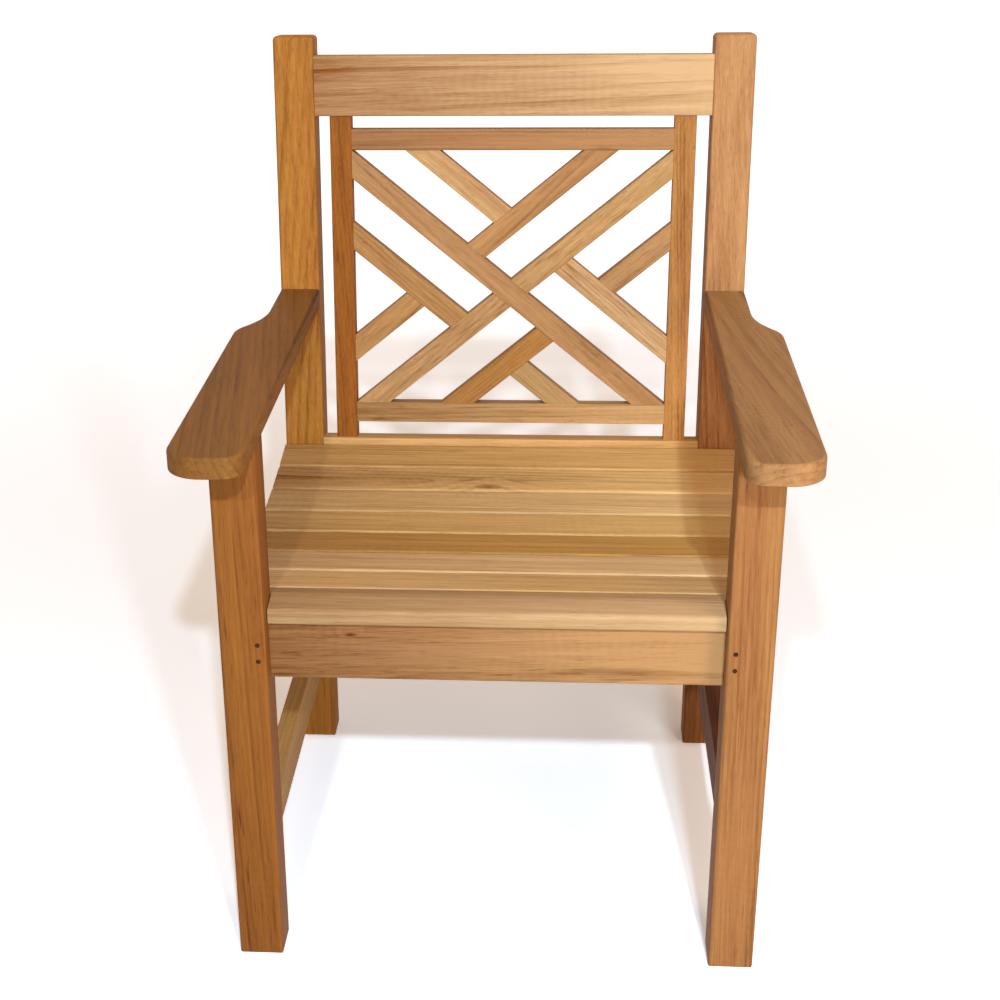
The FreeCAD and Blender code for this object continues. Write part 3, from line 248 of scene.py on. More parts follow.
def settle(piece, node, wood):
    """The finished piece takes its node's place in the chair."""
    piece.data.materials.append(wood)
    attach(piece, "root")
    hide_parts(node)


LEG_OUT, LEG_IN = 0.283, 0.235
LEG_FRONT, LEG_BACK = -0.2533, -0.2053
ARM_UNDER, ARM_TOP = 0.596, 0.618
LEG_ARRIS = 0.003


def upright(near, far, front, back, height):
    """Four corners of a post at one height, anticlockwise from above."""
    return [(near, front, height), (far, front, height),
            (far, back, height), (near, back, height)]


for side, near, far, sawn_at, pale, dark in (
        ("left", -LEG_OUT, -LEG_IN, (0.7, 0.071, 0.02), (152, 94, 40), (91, 45, 14)),
        ("right", LEG_IN, LEG_OUT, (2.1, 0.094, -0.21), (174, 123, 76), (118, 67, 31))):
    leg = board(f"front_leg_{side}_wood", [
        upright(near, far, LEG_FRONT, LEG_BACK, 0),
        upright(near, far, LEG_FRONT, LEG_BACK, ARM_UNDER)], LEG_ARRIS, (1, 0.6, 0))
    settle(leg, f"front_leg_{side}",
           teak(f"teak_front_leg_{side}", "Z", sawn_at, pale, dark, tilt=(0, 1.1, 0.6),
                flecks=0.45 if side == "left" else 0.35))


# ---------------------------------------------------------------- back posts
# Each post is sawn from a wide plank, so that it is plumb up to the seat and leans back
# above it in one piece. Its top is cut square and well eased against splinters.
BEND = 0.422
POST_FRONT, POST_DEPTH = 0.2467, 0.044
RAKE = math.radians(5.2)
TOP = 0.914
HEAD_ARRIS = 0.0052


def lean(x, depth, rise):
    """A point of the leaning back: depth is into the post, rise is along it from the bend."""
    return (x, POST_FRONT + depth * math.cos(RAKE) + rise * math.sin(RAKE),
            BEND - depth * math.sin(RAKE) + rise * math.cos(RAKE))


post_length = (TOP - BEND) / math.cos(RAKE)
bend_behind = POST_DEPTH * math.tan(RAKE / 2)  # the bend is lower on the rear face
# Painted light: the left post is painted paler towards its foot and the right post darker
# towards its foot, for the light and shade that fall on their lower ends
for side, near, far, sawn_at, pale, dark, painted_light_slope in (
        ("left", -LEG_OUT, -LEG_IN, (-0.65, 0.12, 0.05), (192, 130, 56), (120, 66, 20), 0.2),
        ("right", LEG_IN, LEG_OUT, (-0.65, 0.16, -0.25), (193, 146, 99), (131, 73, 32), -0.35)):
    foot = upright(near, far, POST_FRONT, POST_FRONT + POST_DEPTH, 0)
    knee = upright(near, far, POST_FRONT, POST_FRONT + POST_DEPTH, BEND)
    knee = knee[:2] + [(x, y, BEND - bend_behind) for x, y, z in knee[2:]]
    head = [lean(near, 0, post_length), lean(far, 0, post_length),
            lean(far, POST_DEPTH, post_length), lean(near, POST_DEPTH, post_length)]
    post = board(f"back_post_{side}_wood", [foot, knee, head], HEAD_ARRIS,
                 (LEG_ARRIS / HEAD_ARRIS, 0.4, 1))
    settle(post, f"back_post_{side}",
           teak(f"teak_back_post_{side}", "Z", sawn_at, pale, dark, tilt=(0, 0.8, -0.7),
                painted_light_slope=painted_light_slope))


# ---------------------------------------------------------------- seat frame
# The apron ties the front legs under the seat. Behind it two side rails and a bearer carry
# the slats on their hollowed top edges, and the rear rail closes the frame.
RAIL_ARRIS = 0.002
apron_front, apron_back = -0.2293, -0.2073
apron_low, apron_high = 0.3345, 0.4005
apron = board("front_apron_wood", [
    [(x, apron_front, apron_low), (x, apron_back, apron_low),
     (x, apron_back, apron_high), (x, apron_front, apron_high)] for x in (-LEG_IN, LEG_IN)],
    RAIL_ARRIS)
# Painted light: the apron is painted paler towards its right-hand end, where more light falls
settle(apron, "front_apron", teak(
    "teak_front_apron", "X", (0, 0.13, -0.33), (176, 132, 90), (114, 68, 33), ripple=0.04,
    tilt=(0, 1.2, 0.5), painted_light_slope=-2.4, flecks=0.4, knot=((-0.150, apron_front, 0.386), 0.004)))

for name, grain, sawn_at, pale, dark in (
        ("side_seat_rail_left", "Y", (1.0, 0.40, -0.25), (202, 144, 83), (131, 75, 34)),
        ("side_seat_rail_right", "Y", (2.2, -0.12, -0.30), (202, 144, 83), (131, 75, 34)),
        ("centre_seat_bearer", "Y", (3.1, 0.11, -0.26), (198, 140, 80), (128, 73, 33)),
        ("rear_seat_rail", "X", (0.4, -0.12, -0.44), (226, 182, 120), (154, 106, 56))):
    frame["nodes"][name].material_slots[0].material = teak(
        f"teak_{name}", grain, sawn_at, pale, dark, tilt=(0, 0.6, 0.8))


# ---------------------------------------------------------------- stretchers
# One low rail on each side keeps a leg and a post from spreading. The right one is painted
# much darker than the left, a painted shade for the deep shade under the seat on that side.
# Their tenons are pegged from outside.
stretcher_out, stretcher_in = 0.2695, 0.2485
stretcher_low, stretcher_high = 0.100, 0.156
for side, near, far, sawn_at, pale, dark in (
        ("left", -stretcher_out, -stretcher_in, (0.2, 0.36, -0.08),
         (200, 154, 92), (123, 84, 46)),
        # painted shade: the right stretcher's dark colours stand for the shade it stands in
        ("right", stretcher_in, stretcher_out, (1.3, -0.20, -0.09),
         (122, 68, 38), (70, 35, 18))):
    rings = [[(far, y, stretcher_low), (near, y, stretcher_low), (near, y, stretcher_high),
              (far, y, stretcher_high)] for y in (LEG_BACK, POST_FRONT)]
    stretcher = board(f"side_stretcher_{side}_wood", rings, RAIL_ARRIS)
    settle(stretcher, f"side_stretcher_{side}",
           teak(f"teak_side_stretcher_{side}", "Y", sawn_at, pale, dark, tilt=(0, 0.7, 0.9)))


# ---------------------------------------------------------------- crest rail
# The top rail of the back is a wide flat-sawn board between the posts, leaning with them,
# with patches of curly grain, and painted paler towards its right-hand end, where more light
# falls.
crest_low, crest_high, crest_depth = 0.4021, 0.4716, 0.026
crest = board("crest_rail_wood", [
    [lean(x, 0, crest_low), lean(x, crest_depth, crest_low),
     lean(x, crest_depth, crest_high), lean(x, 0, crest_high)] for x in (-LEG_IN, LEG_IN)],
    RAIL_ARRIS)
# Painted light: the slope paints the crest paler towards its right-hand end
settle(crest, "crest_rail", teak(
    "teak_crest_rail", "X", (0, -0.20, -0.80), (208, 172, 129), (145, 94, 52),
    ring_width=0.0085, ripple=0.03, tilt=(0, 1.4, -0.4), painted_light_slope=-1.6, flecks=0.12))


# ---------------------------------------------------------------------- fret
# Two stiles and two rails frame ten diagonal bars of basket work, half-lapped where the long
# ones cross and stub-tenoned where the others stop. The bars are flat, with crisp edges.
RISING, FALLING = 39, -39       # degrees, the slope of a diagonal and of its grain
fret_boards = {
    "fret_stile_left": ("Z", (168, 103, 35), (106, 55, 14)),
    "fret_stile_right": ("Z", (193, 137, 79), (125, 74, 31)),
    "fret_top_rail": ("X", (172, 127, 85), (115, 69, 36)),
    "fret_bottom_rail": ("X", (195, 156, 108), (130, 87, 46)),
    "fret_long_bar_falling": (FALLING, (188, 143, 98), (123, 80, 43)),
    "fret_long_bar_rising": (RISING, (207, 168, 116), (135, 91, 49)),
    "fret_bar_top_left": (FALLING, (207, 165, 117), (135, 87, 49)),
    "fret_bar_top_right": (RISING, (185, 139, 92), (121, 76, 37)),
    "fret_bar_left_upper": (FALLING, (196, 150, 97), (124, 77, 39)),
    "fret_bar_left_lower": (RISING, (189, 145, 93), (127, 78, 39)),
    "fret_bar_right_upper": (RISING, (190, 148, 102), (125, 80, 43)),
    "fret_bar_right_lower": (FALLING, (223, 185, 139), (148, 104, 63)),
    "fret_bar_bottom_left": (RISING, (179, 126, 68), (118, 68, 28)),
    "fret_bar_bottom_right": (FALLING, (186, 151, 102), (123, 81, 43)),
}
for count, (name, (grain, pale, dark)) in enumerate(fret_boards.items()):
    along = 0.0 if grain == "X" else 0.37 * count
    sawn_at = (along, -0.10 - 0.013 * count, -0.55 - 0.021 * (count % 4))
    if grain in GRAIN_TURN:
        # Painted light: the two rails are painted paler towards their right-hand ends, where
        # more light falls
        wood = teak(f"teak_{name}", grain, sawn_at, pale, dark, 0.0042, tilt=(0, 0.8, 0.5),
                    painted_light_slope=-1.3 if grain == "X" else 0.0, flecks=0.35)
    else:
        wood = teak(f"teak_{name}", "X", sawn_at, pale, dark, 0.0046, tilt=(0, grain, 0.5),
                    flecks=0.35)
    frame["nodes"][name].material_slots[0].material = wood


# --------------------------------------------------------------------- slats
# Seven straight slats lie side by side on the hollowed rails, each a planed board with
# rounded edges, and the narrow gaps between them let the rain through.
slat_width, slat_thick, slat_arris, slat_gap = 0.0570125, 0.018, 0.0028, 0.0037
rear_gap, seat_setback = 0.004, 0.014
low_line = 0.0067            # Y of the lowest line of the seat
hollow_depth, low_height = 0.0118, 0.4052
front_slat_rear = LEG_FRONT + seat_setback + slat_width
hollow_radius = ((low_line - front_slat_rear) ** 2 + hollow_depth ** 2) / (2 * hollow_depth)


def slat_tree():
    """Geometry nodes for one slat, by its number from the back."""
    tree = bpy.data.node_groups.new("slat_on_the_hollow", "GeometryNodeTree")
    tree.interface.new_socket("Number", in_out="INPUT", socket_type="NodeSocketInt")
    for name in ("Length", "Width", "Thickness", "Arris", "Gap", "Rear Edge", "Low Line",
                 "Low Height", "Hollow Radius"):
        tree.interface.new_socket(name, in_out="INPUT", socket_type="NodeSocketFloat")
    tree.interface.new_socket("Wood", in_out="INPUT", socket_type="NodeSocketMaterial")
    tree.interface.new_socket("Slat", in_out="OUTPUT", socket_type="NodeSocketGeometry")
    given = tree.nodes.new("NodeGroupInput").outputs

    def node(kind, **inputs):
        made = tree.nodes.new(kind)
        for name, value in inputs.items():
            name = name.replace("_", " ")
            if name in made.inputs:
                socket = made.inputs[name]
                if isinstance(value, bpy.types.NodeSocket):
                    tree.links.new(value, socket)
                else:
                    socket.default_value = value
            else:
                setattr(made, name.replace(" ", "_"), value)
        return made

    def math_of(operation, *values):
        made = tree.nodes.new("ShaderNodeMath")
        made.operation = operation
        for socket, value in zip(made.inputs, values):
            if isinstance(value, bpy.types.NodeSocket):
                tree.links.new(value, socket)
            else:
                socket.default_value = value
        return made.outputs[0]

    # The planed section, rounded at its four edges, and the saw's straight path along X
    section = node("GeometryNodeCurvePrimitiveQuadrilateral", Width=given["Width"],
                   Height=given["Thickness"])
    eased = node("GeometryNodeFilletCurve", Curve=section.outputs[0], Radius=given["Arris"],
                 mode="POLY", Count=4)
    half = math_of("MULTIPLY", given["Length"], 0.5)
    end = node("ShaderNodeCombineXYZ", X=half).outputs[0]
    start = node("ShaderNodeCombineXYZ", X=math_of("MULTIPLY", half, -1.0)).outputs[0]
    path = node("GeometryNodeCurvePrimitiveLine", Start=start, End=end)
    slat = node("GeometryNodeCurveToMesh", Curve=path.outputs[0],
                Profile_Curve=eased.outputs[0], Fill_Caps=True)

    # Its place round the hollow
    pitch = math_of("ADD", given["Width"], given["Gap"])
    back = math_of("MULTIPLY", math_of("SUBTRACT", given["Number"], 1.0), pitch)
    middle = math_of("SUBTRACT", given["Rear Edge"], math_of("MULTIPLY", given["Width"], 0.5))
    offset = math_of("SUBTRACT", math_of("SUBTRACT", middle, back), given["Low Line"])
    angle = math_of("ARCSINE", math_of("DIVIDE", offset, given["Hollow Radius"]))
    reach = math_of("ADD", given["Hollow Radius"], math_of("MULTIPLY", given["Thickness"], 0.5))
    y = math_of("MULTIPLY_ADD", reach, math_of("SINE", angle), given["Low Line"])
    swing = math_of("ADD", given["Low Height"], given["Hollow Radius"])
    z = math_of("SUBTRACT", swing, math_of("MULTIPLY", reach, math_of("COSINE", angle)))
    place = node("ShaderNodeCombineXYZ", Y=y, Z=z).outputs[0]
    turn = node("ShaderNodeCombineXYZ", X=angle).outputs[0]
    laid = node("GeometryNodeTransform", Geometry=slat.outputs[0], Translation=place,
                Rotation=turn)
    real = node("GeometryNodeRealizeInstances", Geometry=laid.outputs[0])
    wood = node("GeometryNodeSetMaterial", Geometry=real.outputs[0], Material=given["Wood"])
    out = tree.nodes.new("NodeGroupOutput")
    tree.links.new(wood.outputs[0], out.inputs[0])
    return tree


def grown(name, tree, **inputs):
    """An object made once by a geometry tree, with the tree then taken off."""
    seed = bpy.data.objects.new(name, bpy.data.meshes.new(name))
    bpy.context.scene.collection.objects.link(seed)
    growth = seed.modifiers.new("growth", "NODES")
    growth.node_group = tree
    for socket in tree.interface.items_tree:
        if socket.in_out == "INPUT" and socket.name in inputs:
            growth[socket.identifier] = inputs[socket.name]
    bpy.context.view_layer.update()
    seen = seed.evaluated_get(bpy.context.evaluated_depsgraph_get())
    mesh = bpy.data.meshes.new_from_object(seen)
    seed.modifiers.remove(growth)
    seed.data = mesh
    return seed


slats = slat_tree()
# Each slat's last value is its painted light slope: the slats are painted paler towards their
# right-hand ends, where more light falls
slat_boards = (
    ((0, 0.03, -0.47), (217, 177, 117), (156, 106, 56), 0.006, -1.2),
    ((0, -0.142, -0.452), (225, 187, 130), (147, 101, 57), 0.0048, -1.6),
    ((0, 0.12, -0.50), (226, 193, 143), (162, 120, 71), 0.006, -1.2),
    ((0, 0.09, -0.38), (216, 179, 120), (150, 105, 59), 0.005, -1.0),
    ((0, 0.11, -0.49), (191, 147, 83), (127, 81, 38), 0.0055, -1.2),
    ((0, 0.21, -0.44), (225, 191, 144), (162, 116, 73), 0.005, -1.0),
    ((0, 0.29, -0.53), (219, 182, 129), (155, 112, 66), 0.006, -0.3),
)
for number, (sawn_at, pale, dark, ring_width, painted_light_slope) in enumerate(slat_boards, start=1):
    knot = ((-0.022, 0.134, 0.409), 0.011) if number == 2 else NO_KNOT
    wood = teak(f"teak_slat_{number}", "X", sawn_at, pale, dark, ring_width, 0.03,
                tilt=(0, 0.9 * (-1) ** number, 0.7), painted_light_slope=painted_light_slope, knot=knot)
    slat = grown(f"seat_slat_{number}_wood", slats, Wood=wood, **{
        "Number": number, "Length": 2 * LEG_OUT, "Width": slat_width, "Thickness": slat_thick,
        "Arris": slat_arris, "Gap": slat_gap, "Rear Edge": POST_FRONT - rear_gap,
        "Low Line": low_line, "Low Height": low_height, "Hollow Radius": hollow_radius})
    slat.data.shade_smooth()
    slat.data.set_sharp_from_angle(angle=math.radians(40))
    slat.modifiers.new("planed", "WEIGHTED_NORMAL").keep_sharp = True
    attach(slat, "root")
    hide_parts(f"seat_slat_{number}")

# The front slat is a thicker board, crowned, rounded over its nose and notched round the legs
front_slat = frame["nodes"]["seat_slat_8"].copy()
front_slat.data = frame["nodes"]["seat_slat_8"].data.copy()
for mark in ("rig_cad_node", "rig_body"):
    del front_slat[mark]
front_slat.name = "seat_slat_8_wood"
bpy.context.scene.collection.objects.link(front_slat)
joined = bmesh.new()
joined.from_mesh(front_slat.data)
bmesh.ops.remove_doubles(joined, verts=joined.verts, dist=0.00001)
bmesh.ops.dissolve_limit(joined, angle_limit=math.radians(0.5), verts=joined.verts,
                         edges=joined.edges)
joined.to_mesh(front_slat.data)
joined.free()
front_slat.data.shade_smooth()
front_slat.data.set_sharp_from_angle(angle=math.radians(50))
front_slat.modifiers.new("planed", "WEIGHTED_NORMAL").keep_sharp = True
# Painted light: the front slat is painted paler towards its right-hand end, where more light
# falls
front_slat.material_slots[0].material = teak(
    "teak_slat_8", "X", (0, 0.36, -0.50), (190, 157, 117), (135, 95, 54), tilt=(0, 0.6, 0.4),
    painted_light_slope=-1.0)
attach(front_slat, "root")
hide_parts("seat_slat_8")


# ---------------------------------------------------------------------- arms
# Each arm is one flat board with its grain from front to back. It is narrow at the post,
# swells outward round a hollow and a shoulder, and ends in a broad nose past the leg.
nose_reach, neck_reach, arm_swell, arm_arris = 0.082, 0.424, 0.028, 0.004
nose_front, neck_start = LEG_FRONT - nose_reach, LEG_FRONT + neck_reach
arm_out = LEG_OUT + arm_swell
inner_round, outer_round = 0.022, 0.036
hollow_round, shoulder_round = 0.130, 0.045
swell = math.acos(1 - (arm_out - LEG_OUT) / (hollow_round + shoulder_round))
shoulder_y = neck_start - (hollow_round + shoulder_round) * math.sin(swell)


def arc(x, y, radius, start, end, steps):
    """Points round a centre, from one angle to another in degrees."""
    turns = [math.radians(start + (end - start) * step / steps) for step in range(steps + 1)]
    return [(x + radius * math.cos(turn), y + radius * math.sin(turn)) for turn in turns]


bulge = math.degrees(swell)
arm_curve = (
    arc(LEG_IN + inner_round, nose_front + inner_round, inner_round, 180, 270, 18)
    + arc(arm_out - outer_round, nose_front + outer_round, outer_round, 270, 360, 24)
    + arc(arm_out - shoulder_round, shoulder_y, shoulder_round, 0, bulge, 10)
    + arc(LEG_OUT + hollow_round, neck_start, hollow_round, 180 + bulge, 180, 14)[1:])
for side, turn, sawn_at, pale, dark in (
        ("left", -1, (0.5, -0.16, -0.66), (142, 96, 45), (88, 51, 20)),
        ("right", 1, (2.5, 0.262, -0.53), (175, 132, 87), (114, 72, 40))):
    rings = []
    for height in (ARM_UNDER, ARM_TOP):
        post_face = POST_FRONT + (height - BEND) * math.tan(RAKE)
        outline = [(LEG_IN, post_face)] + arm_curve + [(LEG_OUT, post_face)]
        rings.append([(turn * x, y, height) for x, y in outline[::turn]])
    arm = board(f"armrest_{side}_wood", rings, arm_arris, (0, 0.375, 1))
    settle(arm, f"armrest_{side}", teak(
        f"teak_armrest_{side}", "Y", sawn_at, pale, dark, 0.0075, 0.05,
        tilt=(0, 2.6, -7.5), flecks=0.35))


# ---------------------------------------------------------------------- pegs
# Riven pegs lock every tenon. Their ends are pared off just proud of the wood, and their
# end grain has gone nearly black. A black ring round each end is its glue and a painted
# shadow of the gap round the peg.
peg_thick, peg_proud, peg_length = 0.005, 0.0003, 0.006
peg_spacing = 0.0187
peg_in = 0.0087                 # from a rail's shoulder to its pegs
apron_peg, side_rail_peg, rear_rail_peg = 0.36435, 0.35165, 0.3637


def peg_tree():
    """Geometry nodes for pegs in pairs, the same on the right and the left of the chair.
    Middle is the middle of the lowest peg of the foremost pair on the right."""
    tree = bpy.data.node_groups.new("pegs_in_pairs", "GeometryNodeTree")
    for name, kind in (("Middle", "Vector"), ("Turn", "Vector"), ("Pair Step", "Vector"),
                       ("Joint Step", "Vector"), ("In Pair", "Int"), ("Joints", "Int"),
                       ("Thickness", "Float"), ("Length", "Float"), ("Wood", "Material")):
        tree.interface.new_socket(name, in_out="INPUT", socket_type="NodeSocket" + kind)
    tree.interface.new_socket("Pegs", in_out="OUTPUT", socket_type="NodeSocketGeometry")
    given = tree.nodes.new("NodeGroupInput").outputs

    def node(kind, *linked, **settings):
        made = tree.nodes.new(kind)
        for name, setting in settings.items():
            setattr(made, name, setting)
        for name, value in linked:
            if isinstance(value, bpy.types.NodeSocket):
                tree.links.new(value, made.inputs[name])
            else:
                made.inputs[name].default_value = value
        return made.outputs

    radius = node("ShaderNodeMath", (0, given["Thickness"]), (1, 0.5), operation="MULTIPLY")[0]
    peg = node("GeometryNodeMeshCylinder", ("Vertices", 16), ("Radius", radius),
               ("Depth", given["Length"]), fill_type="TRIANGLE_FAN")["Mesh"]
    flat = node("ShaderNodeVectorMath", (0, node("GeometryNodeInputPosition")[0]),
                (1, (1, 1, 0)), operation="MULTIPLY")[0]
    from_heart = node("ShaderNodeVectorMath", (0, flat), operation="LENGTH")["Value"]
    to_rim = node("ShaderNodeMath", (0, from_heart), (1, radius), operation="DIVIDE")[0]
    peg = node("GeometryNodeStoreNamedAttribute", ("Geometry", peg), ("Name", "to_rim"),
               ("Value", to_rim), data_type="FLOAT", domain="POINT")[0]
    pair = node("GeometryNodeMeshLine", ("Count", given["In Pair"]),
                ("Offset", given["Pair Step"]))
    driven = node("GeometryNodeInstanceOnPoints", ("Points", pair[0]), ("Instance", peg),
                  ("Rotation", given["Turn"]))
    joints = node("GeometryNodeMeshLine", ("Count", given["Joints"]),
                  ("Start Location", given["Middle"]), ("Offset", given["Joint Step"]))
    right = node("GeometryNodeInstanceOnPoints", ("Points", joints[0]), ("Instance", driven[0]))
    other = node("ShaderNodeVectorMath", (0, given["Middle"]), (1, (-2, 0, 0)),
                 operation="MULTIPLY")[0]
    left = node("GeometryNodeTransform", ("Geometry", right[0]), ("Translation", other))
    both = tree.nodes.new("GeometryNodeJoinGeometry")
    for half in (right, left):
        tree.links.new(half[0], both.inputs[0])
    real = node("GeometryNodeRealizeInstances", ("Geometry", both.outputs[0]))
    wood = node("GeometryNodeSetMaterial", ("Geometry", real[0]), ("Material", given["Wood"]))
    out = tree.nodes.new("NodeGroupOutput")
    tree.links.new(wood[0], out.inputs[0])
    return tree


peg_wood = teak("teak_pegs", "X", (0, 0.2, -0.4), (74, 40, 18), (38, 18, 8), 0.004)
nodes, link = peg_wood.node_tree.nodes, peg_wood.node_tree.links.new
nodes["Principled BSDF"].inputs["Specular IOR Level"].default_value = 0.12
# Painted shade: a black ring round each end stands for the glue and the shadow in the gap round
# the peg
to_rim = nodes.new("ShaderNodeAttribute")
to_rim.attribute_name = "to_rim"
gap = nodes.new("ShaderNodeMapRange")
gap.inputs["From Min"].default_value, gap.inputs["From Max"].default_value = 0.55, 0.95
glue_and_gap_shade = nodes.new("ShaderNodeMix")
glue_and_gap_shade.data_type = "RGBA"
glue_and_gap_shade.inputs[7].default_value = tone(24, 11, 5)
link(to_rim.outputs["Fac"], gap.inputs["Value"])
link(gap.outputs[0], glue_and_gap_shade.inputs["Factor"])
link(nodes["Group"].outputs["Colour"], glue_and_gap_shade.inputs[6])
link(glue_and_gap_shade.outputs[2], nodes["Principled BSDF"].inputs["Base Color"])

pegs = peg_tree()
inset = 0.5 * peg_length - peg_proud
peg_across = LEG_IN + peg_in
side_peg_y = LEG_BACK - peg_in
leg_to_post = (0, POST_FRONT + peg_in - side_peg_y, 0)
stretcher_peg = (stretcher_low + stretcher_high) / 2
crest_peg = (crest_low + crest_high - peg_spacing) / 2
along_post = Vector((0, math.sin(RAKE), math.cos(RAKE)))
for name, middle, turn, pair_step, joint_step, in_pair, joints in (
        ("apron_pegs", (peg_across, LEG_FRONT + inset, apron_peg), (math.pi / 2, 0, 0),
         (0, 0, peg_spacing), (0, 0, 0), 2, 1),
        ("side_rail_pegs", (LEG_OUT - inset, side_peg_y, side_rail_peg), (0, math.pi / 2, 0),
         (0, 0, peg_spacing), leg_to_post, 2, 2),
        ("stretcher_pegs", (LEG_OUT - inset, side_peg_y, stretcher_peg), (0, math.pi / 2, 0),
         (0, 0, peg_spacing), leg_to_post, 1, 2),
        ("rear_rail_pegs", (peg_across, POST_FRONT + POST_DEPTH - inset, rear_rail_peg),
         (math.pi / 2, 0, 0), (0, 0, peg_spacing), (0, 0, 0), 2, 1),
        ("crest_rail_pegs", lean(peg_across, POST_DEPTH - inset, crest_peg),
         (math.pi / 2 - RAKE, 0, 0), along_post * peg_spacing, (0, 0, 0), 2, 1)):
    driven = grown(f"{name}_wood", pegs, Wood=peg_wood, Middle=middle, Turn=turn,
                   Thickness=peg_thick, Length=peg_length, Joints=joints, **{
                       "Pair Step": pair_step, "Joint Step": joint_step, "In Pair": in_pair})
    pared = driven.modifiers.new("pared", "BEVEL")
    pared.width, pared.segments, pared.angle_limit = peg_proud, 2, math.radians(60)
    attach(driven, "root")
    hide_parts(name)


# ---------------------------------------------------------------- the studio
# A white studio: a key lamp close beside the camera, two lamps on tall stands far behind it,
# weak warm ones at the side and overhead, weak warm walls, and a floor exposed for white.


def background_rays(tree):
    """1 where a ray sees the background itself: straight on, in gloss or through glass."""
    rays = tree.nodes.new("ShaderNodeLightPath")
    total = rays.outputs["Is Camera Ray"]
    for name in ("Is Glossy Ray", "Is Transmission Ray"):
        either = tree.nodes.new("ShaderNodeMath")
        either.operation = "MAXIMUM"
        tree.links.new(total, either.inputs[0])
        tree.links.new(rays.outputs[name], either.inputs[1])
        total = either.outputs[0]
    return total


# Warm walls light the chair faintly. The camera sees plain white in their place.
world = bpy.data.worlds.new("studio_walls")
bpy.context.scene.world = world
world.use_nodes = True
tree = world.node_tree
tree.nodes.clear()
walls = tree.nodes.new("ShaderNodeBackground")
walls.inputs["Color"].default_value = (1.0, 0.54, 0.32, 1)
walls.inputs["Strength"].default_value = 0.24
seen = tree.nodes.new("ShaderNodeBackground")
seen.inputs["Color"].default_value = (1, 1, 1, 1)
seen.inputs["Strength"].default_value = 1.0
pick = tree.nodes.new("ShaderNodeMixShader")
out = tree.nodes.new("ShaderNodeOutputWorld")
tree.links.new(background_rays(tree), pick.inputs["Fac"])
tree.links.new(walls.outputs["Background"], pick.inputs[1])
tree.links.new(seen.outputs["Background"], pick.inputs[2])
tree.links.new(pick.outputs["Shader"], out.inputs["Surface"])

lamp_aim = Vector((0, 0, 0.4))
for name, place, watts, width, colour in (
        ("lamp_key", (0.29, -1.85, 1.02), 15, 0.08, (0.75, 0.94, 1.0)),
        ("lamp_right", (0.56, -4.0, 3.0), 100, 0.12, (0.80, 0.91, 1.0)),
        ("lamp_left", (-0.33, -4.0, 3.0), 46, 0.12, (1.0, 0.96, 0.86)),
        ("lamp_side", (1.05, -1.30, 0.75), 9, 0.6, (1.0, 0.72, 0.50)),
        ("lamp_over", (0.0, 0.1, 2.4), 8, 1.8, (1.0, 0.75, 0.38))):
    lamp = bpy.data.lights.new(name, "AREA")
    lamp.shape, lamp.size, lamp.energy, lamp.color = "DISK", width, watts, colour
    lamp_at = bpy.data.objects.new(name, lamp)
    bpy.context.scene.collection.objects.link(lamp_at)
    lamp_at.location = place
    lamp_at.rotation_mode = "QUATERNION"
    lamp_at.rotation_quaternion = (lamp_aim - Vector(place)).to_track_quat("-Z", "Y")

# To rays that see the background, the floor is matt, brighter than any paper, and shines a
# little more with each metre, where the lamps grow weak. So it stays white and keeps the
# shadow. All other rays find it dim and matt, so its white puts no light on the chair.
floor_side, floor_near, floor_far = 14, -6, 22
floor_mesh = bpy.data.meshes.new("floor")
floor_mesh.from_pydata(
    [(-floor_side, floor_near, 0), (floor_side, floor_near, 0),
     (floor_side, floor_far, 0), (-floor_side, floor_far, 0)], [], [(0, 1, 2, 3)])
floor = bpy.data.objects.new("floor", floor_mesh)
bpy.context.scene.collection.objects.link(floor)
paper = bpy.data.materials.new("pale_floor")
paper.use_nodes = True
tree = paper.node_tree
tree.nodes.clear()
matt = tree.nodes.new("ShaderNodeBsdfDiffuse")
matt.inputs["Color"].default_value = (1.42, 1.58, 1.80, 1)
lift = tree.nodes.new("ShaderNodeEmission")
lift.inputs["Color"].default_value = (0.86, 0.95, 1.0, 1)
dim = tree.nodes.new("ShaderNodeBsdfDiffuse")
dim.inputs["Color"].default_value = (0.42, 0.39, 0.35, 1)
spot = tree.nodes.new("ShaderNodeTexCoord")
far = tree.nodes.new("ShaderNodeVectorMath")
far.operation = "LENGTH"
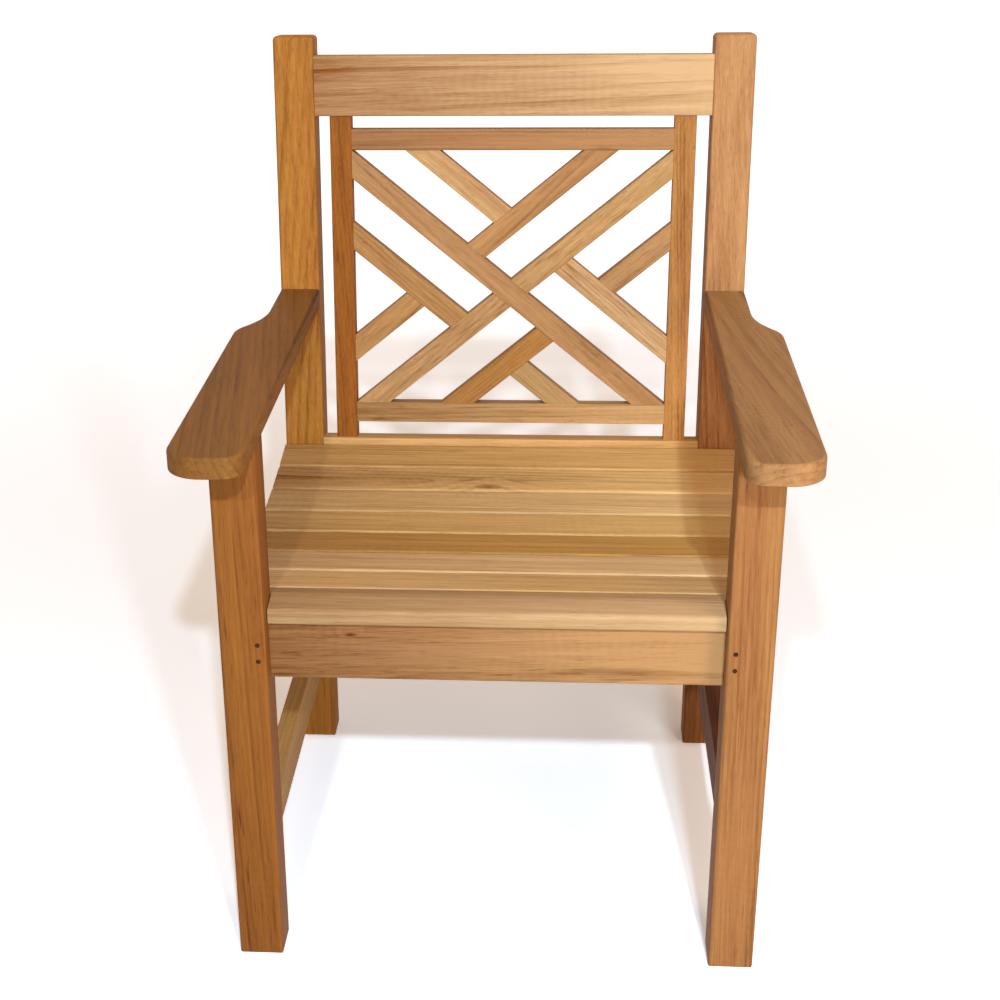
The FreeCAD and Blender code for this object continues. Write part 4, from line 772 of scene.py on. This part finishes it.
fade = tree.nodes.new("ShaderNodeMapRange")
fade.interpolation_type = "SMOOTHSTEP"
for name, amount in (("From Min", 0.3), ("From Max", 3.9), ("To Min", 0.14), ("To Max", 0.94)):
    fade.inputs[name].default_value = amount
both = tree.nodes.new("ShaderNodeAddShader")
pick = tree.nodes.new("ShaderNodeMixShader")
out = tree.nodes.new("ShaderNodeOutputMaterial")
tree.links.new(spot.outputs["Object"], far.inputs[0])
tree.links.new(far.outputs["Value"], fade.inputs["Value"])
tree.links.new(fade.outputs[0], lift.inputs["Strength"])
tree.links.new(matt.outputs[0], both.inputs[0])
tree.links.new(lift.outputs[0], both.inputs[1])
tree.links.new(background_rays(tree), pick.inputs[0])
tree.links.new(dim.outputs[0], pick.inputs[1])
tree.links.new(both.outputs[0], pick.inputs[2])
tree.links.new(pick.outputs[0], out.inputs["Surface"])
floor_mesh.materials.append(paper)


# ------------------------------------------------------------------ the view
# The chair was photographed from in front, a little right of its middle and at chest height,
# with the camera looking down on the seat. The lens is shifted, as by a crop of the photo.
eye = Vector((0.0615, -1.9108, 1.2066))
pitch, swing, roll = math.radians(-24.91), math.radians(4.53), math.radians(-0.93)
ahead = Vector((-math.sin(swing) * math.cos(pitch), math.cos(swing) * math.cos(pitch),
                math.sin(pitch)))
level_right = Vector((math.cos(swing), math.sin(swing), 0))
level_up = level_right.cross(ahead)
right = math.cos(roll) * level_right + math.sin(roll) * level_up
up = -math.sin(roll) * level_right + math.cos(roll) * level_up
lens = bpy.data.cameras.new("camera")
lens.sensor_width, lens.lens = 36, 65.39
lens.shift_x, lens.shift_y = 0.0748, 0.1032
lens.clip_start, lens.clip_end = 0.05, 60
camera = bpy.data.objects.new("camera", lens)
bpy.context.scene.collection.objects.link(camera)
camera.matrix_world = Matrix((
    (right.x, up.x, -ahead.x, eye.x), (right.y, up.y, -ahead.y, eye.y),
    (right.z, up.z, -ahead.z, eye.z), (0, 0, 0, 1)))
bpy.context.scene.camera = camera
bpy.context.scene.view_settings.view_transform = "Standard"
